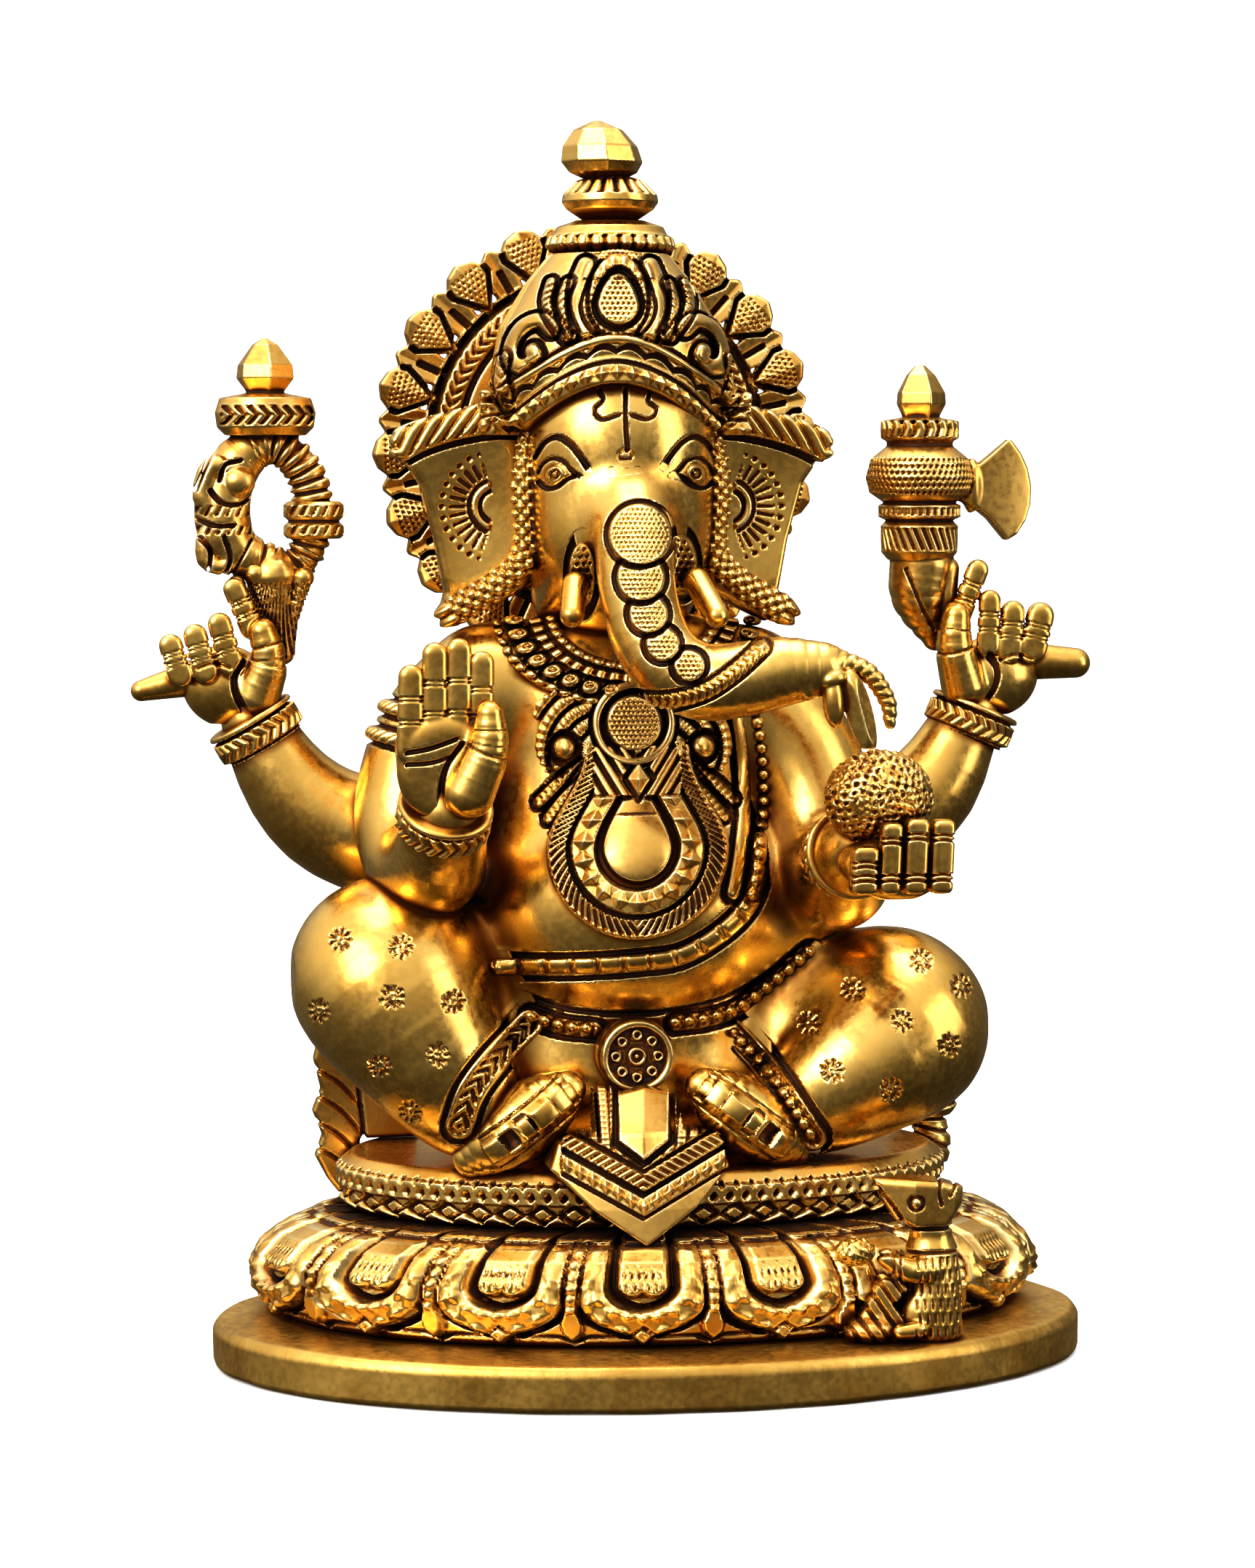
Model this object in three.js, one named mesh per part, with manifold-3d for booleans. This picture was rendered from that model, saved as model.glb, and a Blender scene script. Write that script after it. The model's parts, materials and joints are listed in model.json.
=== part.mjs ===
// A seated elephant-headed temple deity in brass, cast in sections that are brazed together.
// Millimetres, +Z up. The deity faces -Y, and right and left are the deity's own.
// The origin is under the middle of the bounding box, on the surface that the statue stands on.
import * as THREE from "three";
import { mergeVertices } from "three/addons/utils/BufferGeometryUtils.js";
import Module from "manifold-3d";

const wasm = await Module();
wasm.setup();

// Driving dimensions. The figure's own centre line is x = 0, a little to one side of its base's.
const GAP = 0.3; // brazed joint between two castings
const PLATE = { centre: [4.8, -8], a: 70.4, b: 46, bottom: 0, top: 7.2 };
const LOTUS = { centre: [5.2, -2], a: 62.8, b: 40, bottom: PLATE.top + GAP, top: 23.5 };
const CUSHION = { centre: [5, 0.5], a: 49.5, b: 30, bottom: LOTUS.top + GAP, top: 32.5 };
const HOLLOW = { centre: [5, 2], a: 53, b: 27, bottom: -1, top: 19 }; // the casting is open underneath
const HALO = { x: 0.4, z: 146.7, body: 31.2, bigTip: 37.2, smallTip: 36.2, petals: 20, turn: 3 };
const HALO_FRONT = 17.8;
const HALO_BACK = 22;
const HEAD_X = 0.4;
const FINGER = 1.7; // radius of a fingertip
const BANGLE = 7.4; // radius over a bangle
const REAR_Y = 8; // the rear arms and what they hold are in one upright plane

// ---- Solids. A shape is a function of how far it is grown, so that it can also cut its neighbours. ----

function toSolid(geometry) {
  const bare = new THREE.BufferGeometry().setAttribute("position", geometry.getAttribute("position"));
  if (geometry.index) bare.setIndex(geometry.index);
  const merged = mergeVertices(bare, 1e-4);
  const corners = merged.index.array;
  const kept = [];
  for (let i = 0; i < corners.length; i += 3) {
    const [a, b, c] = corners.subarray(i, i + 3);
    if (a !== b && b !== c && c !== a) kept.push(a, b, c);
  }
  const vertProperties = merged.attributes.position.array;
  const build = (triangles) =>
    new wasm.Manifold(
      new wasm.Mesh({ numProp: 3, vertProperties, triVerts: new Uint32Array(triangles) }),
    );
  const solid = build(kept);
  return solid.volume() > 0 ? solid : build(kept.reverse());
}

// An ellipsoid, turned about Y by a number of degrees.
function ball(centre, radii, { turn = 0, around = 14, up = 8 } = {}) {
  return (grow = 0) => {
    const geometry = new THREE.SphereGeometry(1, around, up);
    geometry.scale(...radii.map((r) => r + grow));
    geometry.rotateY(THREE.MathUtils.degToRad(turn));
    geometry.translate(...centre);
    return toSolid(geometry);
  };
}

// A tapered limb with round ends, on a smooth curve through stations of [x, y, z, radius].
function limb(stations, { sides = 8, rings = 6 } = {}) {
  const curve = new THREE.CatmullRomCurve3(stations.map(([x, y, z]) => new THREE.Vector3(x, y, z)));
  const frames = curve.computeFrenetFrames(rings, false);
  const radii = stations.map((station) => station[3]);
  const radiusAt = (u) => {
    const s = curve.getUtoTmapping(u) * (radii.length - 1);
    const i = Math.min(Math.floor(s), radii.length - 2);
    return THREE.MathUtils.lerp(radii[i], radii[i + 1], s - i);
  };
  const capAngles = [0, 50].map(THREE.MathUtils.degToRad);
  return (grow = 0) => {
    const [first, last] = [radiusAt(0) + grow, radiusAt(1) + grow];
    const rows = [];
    for (const a of capAngles) {
      rows.push({ ring: 0, along: -first * Math.cos(a), r: first * Math.sin(a) });
    }
    for (let k = 0; k <= rings; k++) rows.push({ ring: k, along: 0, r: radiusAt(k / rings) + grow });
    for (const a of [...capAngles].reverse()) {
      rows.push({ ring: rings, along: last * Math.cos(a), r: last * Math.sin(a) });
    }
    // A lathe whose height is the number of the row: each row is then carried to its place on the curve.
    const geometry = new THREE.LatheGeometry(rows.map((row, i) => new THREE.Vector2(row.r, i)), sides);
    const at = geometry.getAttribute("position");
    for (let i = 0; i < at.count; i++) {
      const { ring, along } = rows[Math.round(at.getY(i))];
      const place = curve.getPointAt(ring / rings).addScaledVector(frames.tangents[ring], along);
      place.addScaledVector(frames.normals[ring], at.getX(i));
      place.addScaledVector(frames.binormals[ring], at.getZ(i));
      at.setXYZ(i, place.x, place.y, place.z);
    }
    return toSolid(geometry);
  };
}

// A piece turned about the upright line through (x, y): its profile points are [radius, height].
function turned([x, y], profile, sides = 16) {
  return (grow = 0) => {
    const rows = profile.map(([r, z]) => new THREE.Vector2(r > 0 ? r + grow : 0, z));
    rows[0].y -= grow;
    rows[rows.length - 1].y += grow;
    const geometry = new THREE.LatheGeometry(rows, sides);
    geometry.rotateX(Math.PI / 2);
    geometry.scale(1, -1, 1);
    geometry.translate(x, y, 0);
    return toSolid(geometry);
  };
}

// An oval drum: its profile points are [share of the half-width and half-depth, share of the height].
function drum({ centre, a, b, bottom, top }, profile, sides = 40) {
  return (grow = 0) => {
    const geometry = new THREE.LatheGeometry(profile.map(([r, z]) => new THREE.Vector2(r, z)), sides);
    geometry.rotateX(Math.PI / 2);
    geometry.scale(a + grow, b + grow, top - bottom + 2 * grow);
    geometry.translate(...centre, bottom - grow);
    return toSolid(geometry);
  };
}

// An outline in X and Z, extruded from y = front to y = back. It cuts nothing, so it never grows.
function prism(shape, front, back, curveSegments = 8) {
  return () => {
    const settings = { depth: back - front, bevelEnabled: false, curveSegments };
    const geometry = new THREE.ExtrudeGeometry(shape, settings);
    geometry.rotateX(Math.PI / 2);
    geometry.translate(0, back, 0);
    return toSolid(geometry);
  };
}

const outline = (points) => new THREE.Shape(points.map(([x, z]) => new THREE.Vector2(x, z)));
const join = (...shapes) => (grow = 0) => shapes.map((s) => s(grow)).reduce((a, b) => a.add(b));

// What is left of a shape once its neighbours, grown by the joint's gap, are cut from it.
function fitted(shape, ...neighbours) {
  const cut = neighbours.reduce((solid, neighbour) => solid.subtract(neighbour(GAP)), shape());
  return cut.decompose().reduce((a, b) => (a.volume() > b.volume() ? a : b));
}

// ---- Finishes, and the statue that the castings are added to ----

const POLISHED = { color: 0xd9a441, roughness: 0.28, metalness: 1 };
const CHASED = { color: 0xb98a35, roughness: 0.42, metalness: 1 };
const BRUSHED = { color: 0xb08d45, roughness: 0.5, metalness: 1 };

const statue = new THREE.Group();

function addCasting(name, solid, finish) {
  const { vertProperties, triVerts } = solid.getMesh();
  const geometry = new THREE.BufferGeometry();
  geometry.setAttribute("position", new THREE.BufferAttribute(vertProperties, 3));
  geometry.setIndex(new THREE.BufferAttribute(new Uint32Array(triVerts), 1));
  geometry.computeVertexNormals();
  const mesh = new THREE.Mesh(geometry, new THREE.MeshStandardMaterial(finish));
  mesh.name = name;
  statue.add(mesh);
}

// ---- Base: an oval plate, a lotus drum on it and a seat cushion on that ----

const plate = drum(PLATE, [[0, 0], [1, 0], [1, 0.85], [0.985, 1], [0, 1]]);
const lotus = drum(
  LOTUS,
  [[0, 0], [0.955, 0], [0.985, 0.14], [1, 0.35], [0.985, 0.6], [0.93, 0.82], [0.82, 1], [0, 1]],
);
const cushion = drum(CUSHION, [[0, 0], [0.98, 0], [1, 0.15], [1, 0.8], [0.96, 1], [0, 1]]);
const hollow = drum(HOLLOW, [[0, 0], [1, 0], [1, 0.4], [0.84, 1], [0, 1]]);

addCasting("base_plate", plate().subtract(hollow()), BRUSHED);
addCasting("lotus_base", lotus().subtract(hollow()), CHASED);
addCasting("seat_cushion", cushion(), CHASED);

// ---- Body and legs ----

const torso = join(
  ball([1, 3, 47], [30, 22, 18], { around: 16 }), // hips and lap
  ball([2, -3, 73], [26, 24, 24], { around: 18, up: 10 }), // belly
  ball([1, 1, 97], [22, 17, 20]), // chest
  ball([1, 3, 107.5], [29, 13, 12]), // shoulders
);
// Each leg runs from the hip over the raised knee and down the shin to the ankle in front.
const legDetail = { sides: 11, rings: 9 };
const rightLeg = limb(
  [
    [-12, 6, 47, 13], [-26, -2, 55, 15], [-36.5, -9, 61.5, 15.6],
    [-37.5, -14, 59, 15], [-31.5, -18, 49.5, 12.2], [-26.5, -18, 42, 8.6],
  ],
  legDetail,
);
const leftLeg = limb(
  [
    [14, 6, 45, 13], [29, -2, 50, 14.5], [41.5, -8, 54.5, 15],
    [44, -13, 52, 14.6], [37, -18, 46.5, 12], [28.5, -18, 41, 8.6],
  ],
  legDetail,
);
// The front arms, from the shoulder over the elbow to the wrist. The ornaments are cut back from them.
const frontRightArm = limb(
  [
    [-21, 0, 108, 10], [-29, -2, 99, 10], [-33, -5, 88, 9.4], [-32.5, -10, 80.5, 8.6],
    [-31, -18, 80.5, 7.8],
    [-30.5, -24, 85, 6.8], [-30.3, -28, 90, 5.6],
  ],
  { sides: 9, rings: 7 },
);
const frontLeftArm = limb(
  [
    [23, 0, 107, 10], [30.5, -3, 96, 9.6], [34, -7, 84, 9.4], [34, -13, 77.4, 8.6], [34, -20, 78.4, 7.6],
    [34, -26, 81.6, 6.4], [35, -31, 84, 5.4],
  ],
  { sides: 9, rings: 7 },
);
// The feet lie sole to sole, from the heel to the toes.
const rightFoot = limb([[-26, -20.5, 37.5, 4.3], [-19.5, -22.5, 41.5, 6], [-11.5, -23, 47, 4.5]]);
const leftFoot = limb([[24, -20.5, 37.5, 4.3], [17.5, -22.5, 41.5, 6], [12.5, -23, 46.5, 4.5]]);

addCasting("torso", fitted(torso, cushion), POLISHED);
addCasting("right_leg", fitted(rightLeg, torso, cushion), POLISHED);
addCasting("left_leg", fitted(leftLeg, torso, cushion), POLISHED);
addCasting("right_foot", fitted(rightFoot, rightLeg, torso, cushion), POLISHED);
addCasting("left_foot", fitted(leftFoot, leftLeg, torso, cushion), POLISHED);

// ---- Ornaments laid on the body ----

// A layer of this thickness over the torso, inside an outline seen from the front.
const laidOn = (thickness, shape) =>
  torso(thickness).intersect(prism(shape, -60, 0)()).subtract(torso(GAP));

function pendantShape() {
  const [z, radius, neck, top] = [82.5, 14.5, 6.5, 98];
  const shape = new THREE.Shape();
  shape.moveTo(-neck, top);
  shape.quadraticCurveTo(-radius, z + 10, -radius, z);
  shape.absarc(0, z, radius, Math.PI, 2 * Math.PI, false);
  shape.quadraticCurveTo(radius, z + 10, neck, top);
  return shape;
}

const COLLAR = { x: 0.5, z: 121, a: 23, b: 17 };
function collarShape() {
  const shape = new THREE.Shape();
  shape.absellipse(COLLAR.x, COLLAR.z, COLLAR.a, COLLAR.b, Math.PI, 2 * Math.PI, false);
  shape.absellipse(COLLAR.x, COLLAR.z, 13, 10, 2 * Math.PI, Math.PI, true);
  return shape;
}
function filledCollar(grow) {
  const [a, b] = [COLLAR.a + grow, COLLAR.b + grow];
  return new THREE.Shape().absellipse(COLLAR.x, COLLAR.z, a, b, Math.PI, 2 * Math.PI, false);
}

// A round jewel in a setting, with a feathered wing on each side of it.
function jewelShape() {
  return outline([
    [-15, 99], [-13, 95.6], [-9.5, 97.4], [-4, 98.6], [5, 98.6], [10.5, 97.4], [14, 95.6], [16, 99],
    [15.4, 106], [9, 108.6], [-8, 108.6], [-14.6, 106],
  ]);
}

// A pleated cloth end over the middle of the seat, with a pointed hem.
const drapeOutline = outline(
  [
    [-7.4, 39], [-15.2, 37.8], [-16.8, 33.5], [-9.4, 27.6], [-0.3, 22.4], [8.8, 27.6],
    [15.6, 33.5], [13.8, 38.2],
    [6.6, 39.4], [5.3, 45.5], [-6.7, 45.5],
  ],
);
const frontDrape = prism(drapeOutline, -37.4, -24);

function buckle(grow = 0) {
  const disc = new THREE.CylinderGeometry(5.4 + grow, 5.4 + grow, 9 + 2 * grow, 18); // its axis is Y
  disc.translate(0.3, -19.5, 50.3);
  return toSolid(disc);
}

addCasting("belly_pendant", laidOn(2, pendantShape()), CHASED);
addCasting("necklace", fitted(() => laidOn(2.4, collarShape()), frontRightArm, frontLeftArm), CHASED);
addCasting(
  "chest_jewel",
  fitted(() => laidOn(2.4, jewelShape()).subtract(prism(filledCollar(GAP), -60, 0)()),
    frontRightArm, frontLeftArm),
  CHASED,
);
addCasting("belt_buckle", fitted(buckle, torso), CHASED);
addCasting(
  "front_drape",
  fitted(frontDrape, cushion, lotus, torso, buckle, rightFoot, leftFoot, rightLeg, leftLeg),
  CHASED,
);

// ---- Head, crown and halo ----

const head = join(
  ball([HEAD_X, -2, 141], [16.3, 17, 17], { around: 16, up: 9 }), // cranium
  ball([HEAD_X, -6, 130], [14.2, 13.5, 12.5]), // cheeks and jaw
  ball([HEAD_X, 2, 122], [13, 11, 9]), // neck
);
const trunk = limb(
  [
    [0.3, -13, 137, 7.4], [0.3, -21, 132, 7], [0.2, -25, 123.5, 6.4],
    [1.5, -27.6, 115.5, 6.4], [6, -30.5, 110.2, 6.3],
    [13, -33, 109.8, 6.1], [21, -35, 111.4, 5.5], [27.5, -36, 111.6, 4.6],
    [32.4, -37, 109, 4], [34.6, -37.5, 104.5, 3.2],
  ],
  { sides: 9, rings: 13 },
);
const rightTusk = limb([[-8.6, -17, 126.5, 2.4], [-10, -23, 119.4, 1.8]], { sides: 7, rings: 1 });
const leftTusk = limb([[9.4, -17, 127, 2.4], [13.2, -24, 119.2, 1.8]], { sides: 7, rings: 1 });
const crownCap = turned(
  [-0.5, 0],
  [[0, 150], [18.6, 150], [19.6, 156], [17.4, 165], [13, 172], [9.6, 176.5], [0, 176.5]],
  20,
);
const lowerTier = turned([0, 2], [[0, 176.8], [9, 176.8], [10.7, 178], [9.6, 180.4], [6, 182], [0, 182]]);
const upperTier = turned([0, 2], [[0, 182.3], [4.6, 182.3], [7.8, 184.8], [7.4, 186.2],
  [4, 188.8], [0, 188.8]]);
const finial = turned([-1.6, 2], [[0, 189.1], [3.2, 189.1], [6.2, 191.6], [5.4, 194],
  [2.8, 197.2], [0, 198.2]]);

// A disc with big pointed petals round its rim, and a small one between each two.
function haloShape() {
  const { x, z, body, bigTip, smallTip, petals, turn } = HALO;
  const pair = [[0, bigTip], [0.14, bigTip - 1.2], [0.34, body], [0.5, smallTip],
    [0.66, body], [0.86, bigTip - 1.2]];
  const points = [];
  for (let i = 0; i < petals; i++) {
    for (const [share, r] of pair) {
      const angle = ((i + share) / petals) * 2 * Math.PI + THREE.MathUtils.degToRad(turn);
      points.push([x + r * Math.cos(angle), z + r * Math.sin(angle)]);
    }
  }
  return outline(points);
}
const halo = prism(haloShape(), HALO_FRONT, HALO_BACK);

// The ear is a fan with a long upper edge. Side is -1 for the deity's right and 1 for its left.
function ear(side) {
  const fan = [
    [12, 149], [22, 152], [34.6, 148.6], [35, 145.4], [30.8, 140], [28.6, 131], [27.4, 122.6],
    [28.4, 118.6],
    [25, 117.6], [16, 122], [12, 125],
  ];
  return prism(outline(fan.map(([x, z]) => [HEAD_X + side * x, z])), 0.5, 6.5);
}

addCasting("head", fitted(head, torso), POLISHED);
addCasting("trunk", fitted(trunk, head, torso), POLISHED);
addCasting("right_tusk", fitted(rightTusk, head, trunk), POLISHED);
addCasting("left_tusk", fitted(leftTusk, head, trunk), POLISHED);
addCasting("crown", fitted(crownCap, head), CHASED);
addCasting("crown_lower_tier", lowerTier(), POLISHED);
addCasting("crown_upper_tier", upperTier(), POLISHED);
addCasting("crown_finial", finial(), POLISHED);
addCasting("halo", fitted(halo, crownCap, head, torso), CHASED);
addCasting("right_ear", fitted(ear(-1), head, crownCap, torso), POLISHED);
addCasting("left_ear", fitted(ear(1), head, crownCap, torso), POLISHED);

// ---- Rear arms: noose in the right hand, axe in the left ----

const rearRightArm = limb(
  [
    [-18, REAR_Y, 88.4, 10], [-33, REAR_Y, 82.8, 9.8], [-43.6, REAR_Y, 84.6, 9], [-51.4, REAR_Y, 91, 7.6],
    [-57.8, REAR_Y, 102, 5.6],
  ],
  { sides: 9, rings: 7 },
);
const rearLeftArm = limb(
  [
    [20, REAR_Y, 89.6, 10], [36, REAR_Y, 83.4, 9.6], [46.6, REAR_Y, 84.2, 8.8], [55, REAR_Y, 90, 7.8],
    [61.5, REAR_Y, 102, 5.6],
  ],
  { sides: 9, rings: 7 },
);
const bangle = (from, to) => limb([[...from, BANGLE], [...to, BANGLE]], { sides: 10, rings: 1 });
const rearRightBangle = bangle([-56, REAR_Y, 98.8], [-57.3, REAR_Y, 101]);
const rearLeftBangle = bangle([60.8, REAR_Y, 99.4], [61.7, REAR_Y, 101.6]);

// A finger from its knuckle to its tip.
const finger = (knuckle, tip) => limb([[...knuckle, FINGER + 0.3], [...tip, FINGER]],
  { sides: 6, rings: 1 });
// A closed hand: a palm, a thumb laid along it, a raised first finger and three bent ones.
const rearRightHand = join(
  ball([-62, REAR_Y, 108.2], [7.2, 4.6, 5.2], { turn: 20, around: 10, up: 6 }),
  limb([[-57, 5, 107.5, 3.6], [-55.6, 3.5, 112.5, 2.8], [-56.8, 3.2, 117.6, 1.9]], { rings: 3 }),
  finger([-58.6, 5.5, 116.5], [-60.5, 4.4, 123.6]),
  finger([-61.5, 3.6, 111.5], [-63, 4.2, 118.4]),
  finger([-65.4, 3.6, 110.8], [-66.9, 4.4, 116.6]),
  finger([-69.3, 4, 110.8], [-71.2, 4.6, 115.2]),
);
const rearLeftHand = join(
  ball([66, REAR_Y, 108.8], [7.2, 4.6, 5.6], { turn: -14, around: 10, up: 6 }),
  limb([[59.4, 5, 108.5, 3.6], [57.4, 3.6, 114.8, 2.8], [58.4, 3.2, 120.2, 1.9]], { rings: 3 }),
  finger([59.6, 5.5, 118.5], [61.1, 4.4, 126.2]),
  finger([62.6, 3.6, 113], [64.2, 4.2, 121.4]),
  finger([66.6, 3.6, 112.4], [67.4, 4.4, 119.6]),
  finger([70.6, 4, 112.2], [72.8, 4.6, 119.2]),
);

// The noose: a fan-shaped handle, an upright eye of rope with a collar on it,
// and a cap with a bud on top.
const ropeEye = limb(
  [[-53.5, REAR_Y, 126.5, 3], [-60, REAR_Y, 129.5, 3.8], [-61.5, REAR_Y, 137.5, 4.2],
    [-58.5, REAR_Y, 144.6, 3.4],
    [-54, REAR_Y, 146.4, 3.2], [-49.3, REAR_Y, 143.4, 3.4], [-47.4, REAR_Y, 137, 3.6],
    [-48.6, REAR_Y, 130.5, 3.2],
    [-52, REAR_Y, 126.8, 3]],
  { sides: 7, rings: 13 },
);
const noose = join(
  ropeEye,
  turned([-47.5, REAR_Y], [[0, 131.4], [4.9, 131.4], [4.9, 137.2], [0, 137.2]], 12), // collar
  turned(
    [-55, REAR_Y],
    [[0, 147.8], [6.2, 148], [8, 150], [7.6, 153.6], [5.4, 155], [2.4, 155.3], [4.2, 158.6],
      [1.4, 162.8], [0, 163.5]],
    12,
  ), // cap and bud
  // handle
  limb([[-52, REAR_Y, 112.5, 2.8], [-52.4, REAR_Y, 118, 4], [-52.6, REAR_Y, 125, 5]],
    { rings: 2 }),
);
// The axe: a curved horn, bands, a round drum, a cap with a bud, and a blade on the outer side.
const blade = new THREE.Shape();
blade.moveTo(60, 143);
blade.quadraticCurveTo(64, 143, 68.1, 147.6);
blade.quadraticCurveTo(76, 139.6, 67.3, 131);
blade.quadraticCurveTo(64.5, 136.5, 60, 138.6);
const axe = join(
  turned(
    [52.6, REAR_Y],
    [[0, 127.5], [5.6, 127.5], [6.6, 131], [6.6, 134.6], [5.8, 135.4], [8.4, 138], [9.1, 141],
      [8.2, 144], [4.6, 147.2],
      [6.3, 148.2], [6.3, 150.4], [2.6, 151.4], [4, 154.6], [1.6, 158.2], [0, 159.4]],
    12,
  ),
  // horn
  limb([[53.4, REAR_Y, 127, 5.2], [54.2, REAR_Y, 121.5, 4.5], [56.6, REAR_Y, 115.6, 2.6]],
    { rings: 3 }),
  prism(blade, REAR_Y - 1.2, REAR_Y + 1.2, 5),
);
const nooseTail = limb([[-67, 9, 109.2, 2.8], [-75.6, 8.4, 107, 1.5]], { rings: 1 });
const axeButt = limb([[71, 9, 110.9, 3.3], [79.6, 8.4, 110.2, 2.4]], { rings: 1 });

addCasting("rear_right_arm", fitted(rearRightArm, torso, rightLeg), POLISHED);
addCasting("rear_left_arm", fitted(rearLeftArm, torso, leftLeg), POLISHED);
addCasting("rear_right_bangle", fitted(rearRightBangle, rearRightArm), CHASED);
addCasting("rear_left_bangle", fitted(rearLeftBangle, rearLeftArm), CHASED);
addCasting("rear_right_hand", fitted(rearRightHand, rearRightArm, rearRightBangle), POLISHED);
addCasting("rear_left_hand", fitted(rearLeftHand, rearLeftArm, rearLeftBangle), POLISHED);
addCasting("noose", fitted(noose, rearRightHand, rearRightArm), CHASED);
addCasting("noose_tail", fitted(nooseTail, rearRightHand), POLISHED);
addCasting("axe", fitted(axe, rearLeftHand, rearLeftArm), CHASED);
addCasting("axe_butt", fitted(axeButt, rearLeftHand), POLISHED);

// ---- Front arms: the right hand is raised open, the left holds a sweet ball ----

const frontRightBangle = bangle([-30.6, -25.6, 87.4], [-30.4, -27.4, 89.6]);
const frontLeftBangle = bangle([33.7, -23, 81], [33.9, -25.4, 81.7]);

// The raised hand: a palm, four fingers of the given x and height of tip, and the thumb.
const raisedFingers = [[-36, 110.7], [-32.4, 114.1], [-28.6, 114.7], [-25.2, 112.7]];
const openHand = join(
  ball([-31, -31.5, 98], [6.6, 3.4, 8.4], { around: 10, up: 6 }),
  ...raisedFingers.map(([x, tip]) => finger([x, -31.4, 102], [x, -31.4, tip])),
  limb([[-27.5, -32.5, 93.5, 3.6], [-24.6, -34, 99.5, 2.8], [-24.9, -34.4, 105, 1.8]], { rings: 3 }),
);
// The hand that holds the sweet: the fingers come up in front of it.
const cuppedFingers = [[33, 84.8], [37, 87.4], [41.2, 88.6], [45.4, 88]];
const offeringHand = join(
  ball([38.4, -35.5, 81.8], [8.6, 7.2, 3.8], { around: 10, up: 6 }),
  ...cuppedFingers.map(([x, tip]) =>
    limb([[x, -39.4, 80.2, 2], [x, -42.2, 82, 1.9], [x, -42.4, tip, FINGER]], { sides: 6, rings: 3 })),
);
const sweet = ball([36.6, -34.4, 91.4], [8.6, 7, 7.6]);

addCasting("front_right_arm", fitted(frontRightArm, torso, rightLeg, rearRightArm), POLISHED);
addCasting("front_left_arm", fitted(frontLeftArm, torso, leftLeg, rearLeftArm), POLISHED);
addCasting("front_right_bangle", fitted(frontRightBangle, frontRightArm, torso, rightLeg), CHASED);
addCasting("front_left_bangle", fitted(frontLeftBangle, frontLeftArm, torso, leftLeg), CHASED);
addCasting("front_right_hand", fitted(openHand, frontRightArm, frontRightBangle, torso), POLISHED);
addCasting("front_left_hand", fitted(offeringHand, frontLeftArm, frontLeftBangle, leftLeg), POLISHED);
addCasting("sweet_ball", fitted(sweet, offeringHand, frontLeftArm, frontLeftBangle, trunk), CHASED);

// ---- Cloth ends behind the knees, and the mouse on the plate ----

const clothLeaf = outline(
  [
    [-36, 33], [-43.4, 33], [-44.2, 24.4], [-46.4, 26.6], [-48.4, 30], [-47, 33.4],
    [-48.8, 37.4], [-47.4, 41],
    [-48.6, 46], [-47.4, 51], [-47.8, 58], [-38, 50],
  ],
);
const rightClothEnd = prism(clothLeaf, 11, 14.5);
const leftClothEnd = join(
  ball([54.5, 12, 38.2], [6.4, 4.6, 5.6], { around: 10, up: 7 }),
  ball([56, 12, 29.5], [3.4, 3.6, 5.4], { around: 10, up: 7 }),
);

const plateTop = PLATE.top + GAP;
const mouse = join(
  // body
  turned([44.4, -38.6], [[0, plateTop], [5.3, plateTop], [4.6, 14], [4, 21], [3.4, 27],
    [0, 27]], 12),
  limb([[35.4, -39.6, 32, 0.9], [40.4, -39, 29.2, 3.4], [45.4, -38.6, 29, 3.7]], { rings: 4 }), // head
  ball([48.4, -38, 31.6], [2, 1.4, 1.8], { around: 8, up: 5 }), // ear
  limb([[42, -41.4, 20.6, 2], [36.8, -43, 21.4, 1.5]], { rings: 1 }), // forelegs
);
const mouseSweet = ball([31.4, -42.6, 21.8], [3.2, 2.4, 2.1], { around: 8, up: 6 });
const clothLump = ball([36, -40, 10.4], [6.4, 4, 6], { around: 10, up: 7 });

addCasting("right_cloth_end", fitted(rightClothEnd, rightLeg, torso, cushion, lotus,
  rearRightArm), CHASED);
addCasting("left_cloth_end", fitted(leftClothEnd, leftLeg, torso, cushion, lotus), CHASED);
addCasting("mouse", fitted(mouse, lotus), POLISHED);
addCasting("mouse_sweet", fitted(mouseSweet, mouse, lotus), POLISHED);
addCasting("mouse_tail_cloth", fitted(clothLump, mouse, lotus, plate), CHASED);

// The origin is under the middle of everything.
const bounds = new THREE.Box3().setFromObject(statue);
const middle = bounds.getCenter(new THREE.Vector3());
statue.position.set(-middle.x, -middle.y, -bounds.min.z);

export default statue;
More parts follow.
